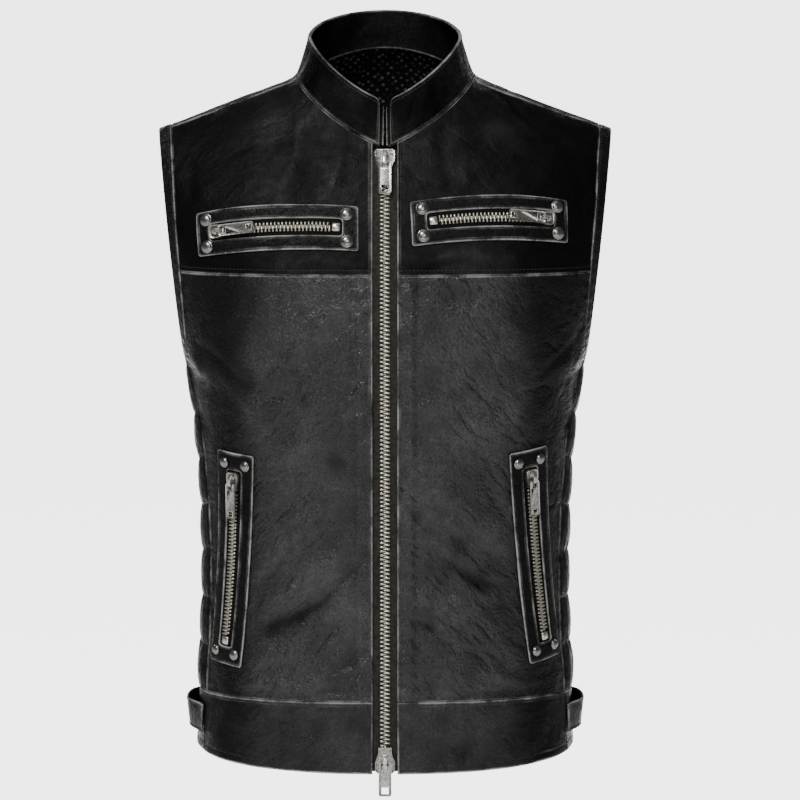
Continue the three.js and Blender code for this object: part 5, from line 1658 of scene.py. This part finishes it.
def pocket_zip(name, pocket, window_width, place):
    """The tape in the window, its teeth, and the stop at the end away from the slider."""
    reach, half = window_width / 2 - WINDOW_ROOM, pocket["window"] / 2 - WINDOW_ROOM
    v = np.linspace(-half, half, 15)
    bed, up = place(*np.meshgrid(np.linspace(-reach, reach, 120), v), SEAM_GAP)
    ribs = TAPE_THICKNESS + 0.35 * hump(v, 0, 1.4) - 0.25 * hump(np.abs(v), 5.6, 0.5)
    tape = shell(f"{name}_tape", bed + up * ribs[:, None, None], bed, dark_tape, np.zeros(bed.shape[:2]))
    dress(tape, "tape", f"{name}_zip")

    chain_u = np.linspace(-reach + STOP_LENGTH + STOP_GAP, reach - SLIDER_ROOM, 300)
    line, up = place(chain_u, np.zeros(300), TAPE_THICKNESS + SEAM_GAP + POCKET_CHAIN_LIFT)
    points, faces = chain(
        line, up, POCKET_CHAIN_HALF, POCKET_TOOTH_PITCH, POCKET_CHAIN_DEPTH, POCKET_TOOTH_LIFT
    )
    dress(make_object(f"{name}_teeth", points, faces, teeth_metal), "metal")

    stop_u = np.linspace(-reach + STOP_INSET, -reach + STOP_INSET + STOP_LENGTH, 2)
    stop_line, stop_up = place(stop_u, np.zeros(2), TAPE_THICKNESS + SEAM_GAP + STOP_LIFT)
    frames = line_frames(stop_line, stop_up, STOP_LENGTH)
    points, faces = repeated(frames, *bead(STOP_SHAPE, STOP_SIDES))
    dress(make_object(f"{name}_stop", points, faces, silver), "metal")


for name, pocket in POCKETS.items():
    place = pocket_plane(pocket)
    window_width = pocket["width"] - 2 * pocket["margin"]
    pocket_patch(name, pocket, window_width, place)
    pocket_rivets(name, pocket, place)
    pocket_zip(name, pocket, window_width, place)

# All the stitches are one piece of thread work
half = STITCH["half"]
stitch_points, stitch_faces = bead(
    [
        (-STITCH["length"] / 2, half * 0.5, half * 0.4, -half * 0.6),
        (-STITCH["length"] / 4, half, half, 0),
        (STITCH["length"] / 4, half, half, 0),
        (STITCH["length"] / 2, half * 0.5, half * 0.4, -half * 0.6),
    ],
    5,
)
frames = [np.concatenate(parts) for parts in zip(*stitch_frames)]
points, faces = repeated(frames, stitch_points, stitch_faces)
dress(make_object("stitching", points, faces, thread), "leather")


# Stage: pale floor, soft light and the camera

def put_facing(thing, place, target):
    thing.location = place
    thing.rotation_euler = (Vector(target) - Vector(place)).to_track_quat("-Z", "Y").to_euler()
    bpy.context.scene.collection.objects.link(thing)


def area_light(name, place, size, power):
    light = bpy.data.lights.new(name, "AREA")
    light.shape = "RECTANGLE"
    light.size, light.size_y = size
    light.energy = power
    put_facing(bpy.data.objects.new(name, light), place, LIGHT_TARGET)


def floor_material():
    """Pale all over, with a bright glow on the part behind the vest."""
    pale, tree, shader = blank_material("pale_floor")
    shader.inputs["Base Color"].default_value = (0.86, 0.86, 0.86, 1)
    shader.inputs["Roughness"].default_value = 0.9
    shader.inputs["Emission Color"].default_value = (1, 1, 1, 1)
    axes = node(tree, "SeparateXYZ", {0: node(tree, "TexCoord").outputs["Object"]}).outputs
    aside = math_node(tree, "ABSOLUTE", axes["X"], 0.0)
    aside = math_node(tree, "SUBTRACT", aside, math_node(tree, "MULTIPLY", axes["Y"], 0.2))
    behind = spread(tree, axes["Y"], 1.0, 1.5)
    lit = math_node(tree, "MULTIPLY", behind, spread(tree, aside, 1.1, 0.5))
    glow = math_node(tree, "ADD", math_node(tree, "MULTIPLY", lit, BACKDROP_GLOW), FLOOR_GLOW)
    tree.links.new(glow, shader.inputs["Emission Strength"])
    return pale


FLOOR_Z = -1.05
FLOOR_HALF = 40
FLOOR_GLOW = 0.25
BACKDROP_GLOW = 3.4
WORLD_STRENGTH = 0.09
LIGHT_TARGET = (0, 0, -0.3)
# Place, size and power of the lights, in metres and watts
LIGHTS = {
    "low": ((0.1, -2.3, -0.66), (1.2, 0.4), 4),
    "high": ((0.25, -2.3, 0.85), (0.8, 0.4), 7),
    "key": ((-1.0, -1.9, 2.2), (0.5, 0.5), 64),
    "top": ((0, 0.4, 3.2), (2.5, 2.0), 10),
    "back_left": ((1.5, 2.5, 1.1), (0.7, 1.2), 22),
    "back_right": ((-1.5, 2.5, 1.1), (0.7, 1.2), 22),
}
CAMERA_PLACE = (0.014, -4.1591, 0.2778)
CAMERA_TARGET = (0.014, 0, -0.3067)

floor_mesh = bpy.data.meshes.new("floor")
floor_corners = [(x * FLOOR_HALF, y * FLOOR_HALF, FLOOR_Z) for x, y in ((-1, -1), (1, -1), (1, 1), (-1, 1))]
floor_mesh.from_pydata(floor_corners, [], [(0, 1, 2, 3)])
floor_mesh.materials.append(floor_material())
floor = bpy.data.objects.new("floor", floor_mesh)
bpy.context.scene.collection.objects.link(floor)

world = bpy.data.worlds.new("studio")
world.use_nodes = True
sky = world.node_tree.nodes["Background"].inputs
sky["Color"].default_value = (1, 1, 1, 1)
sky["Strength"].default_value = WORLD_STRENGTH
bpy.context.scene.world = world
for name, (place, size, power) in LIGHTS.items():
    area_light(name, place, size, power)

camera_data = bpy.data.cameras.new("camera")
camera_data.lens = 198.9
camera_data.sensor_width = 36
camera = bpy.data.objects.new("camera", camera_data)
put_facing(camera, CAMERA_PLACE, CAMERA_TARGET)
bpy.context.scene.camera = camera
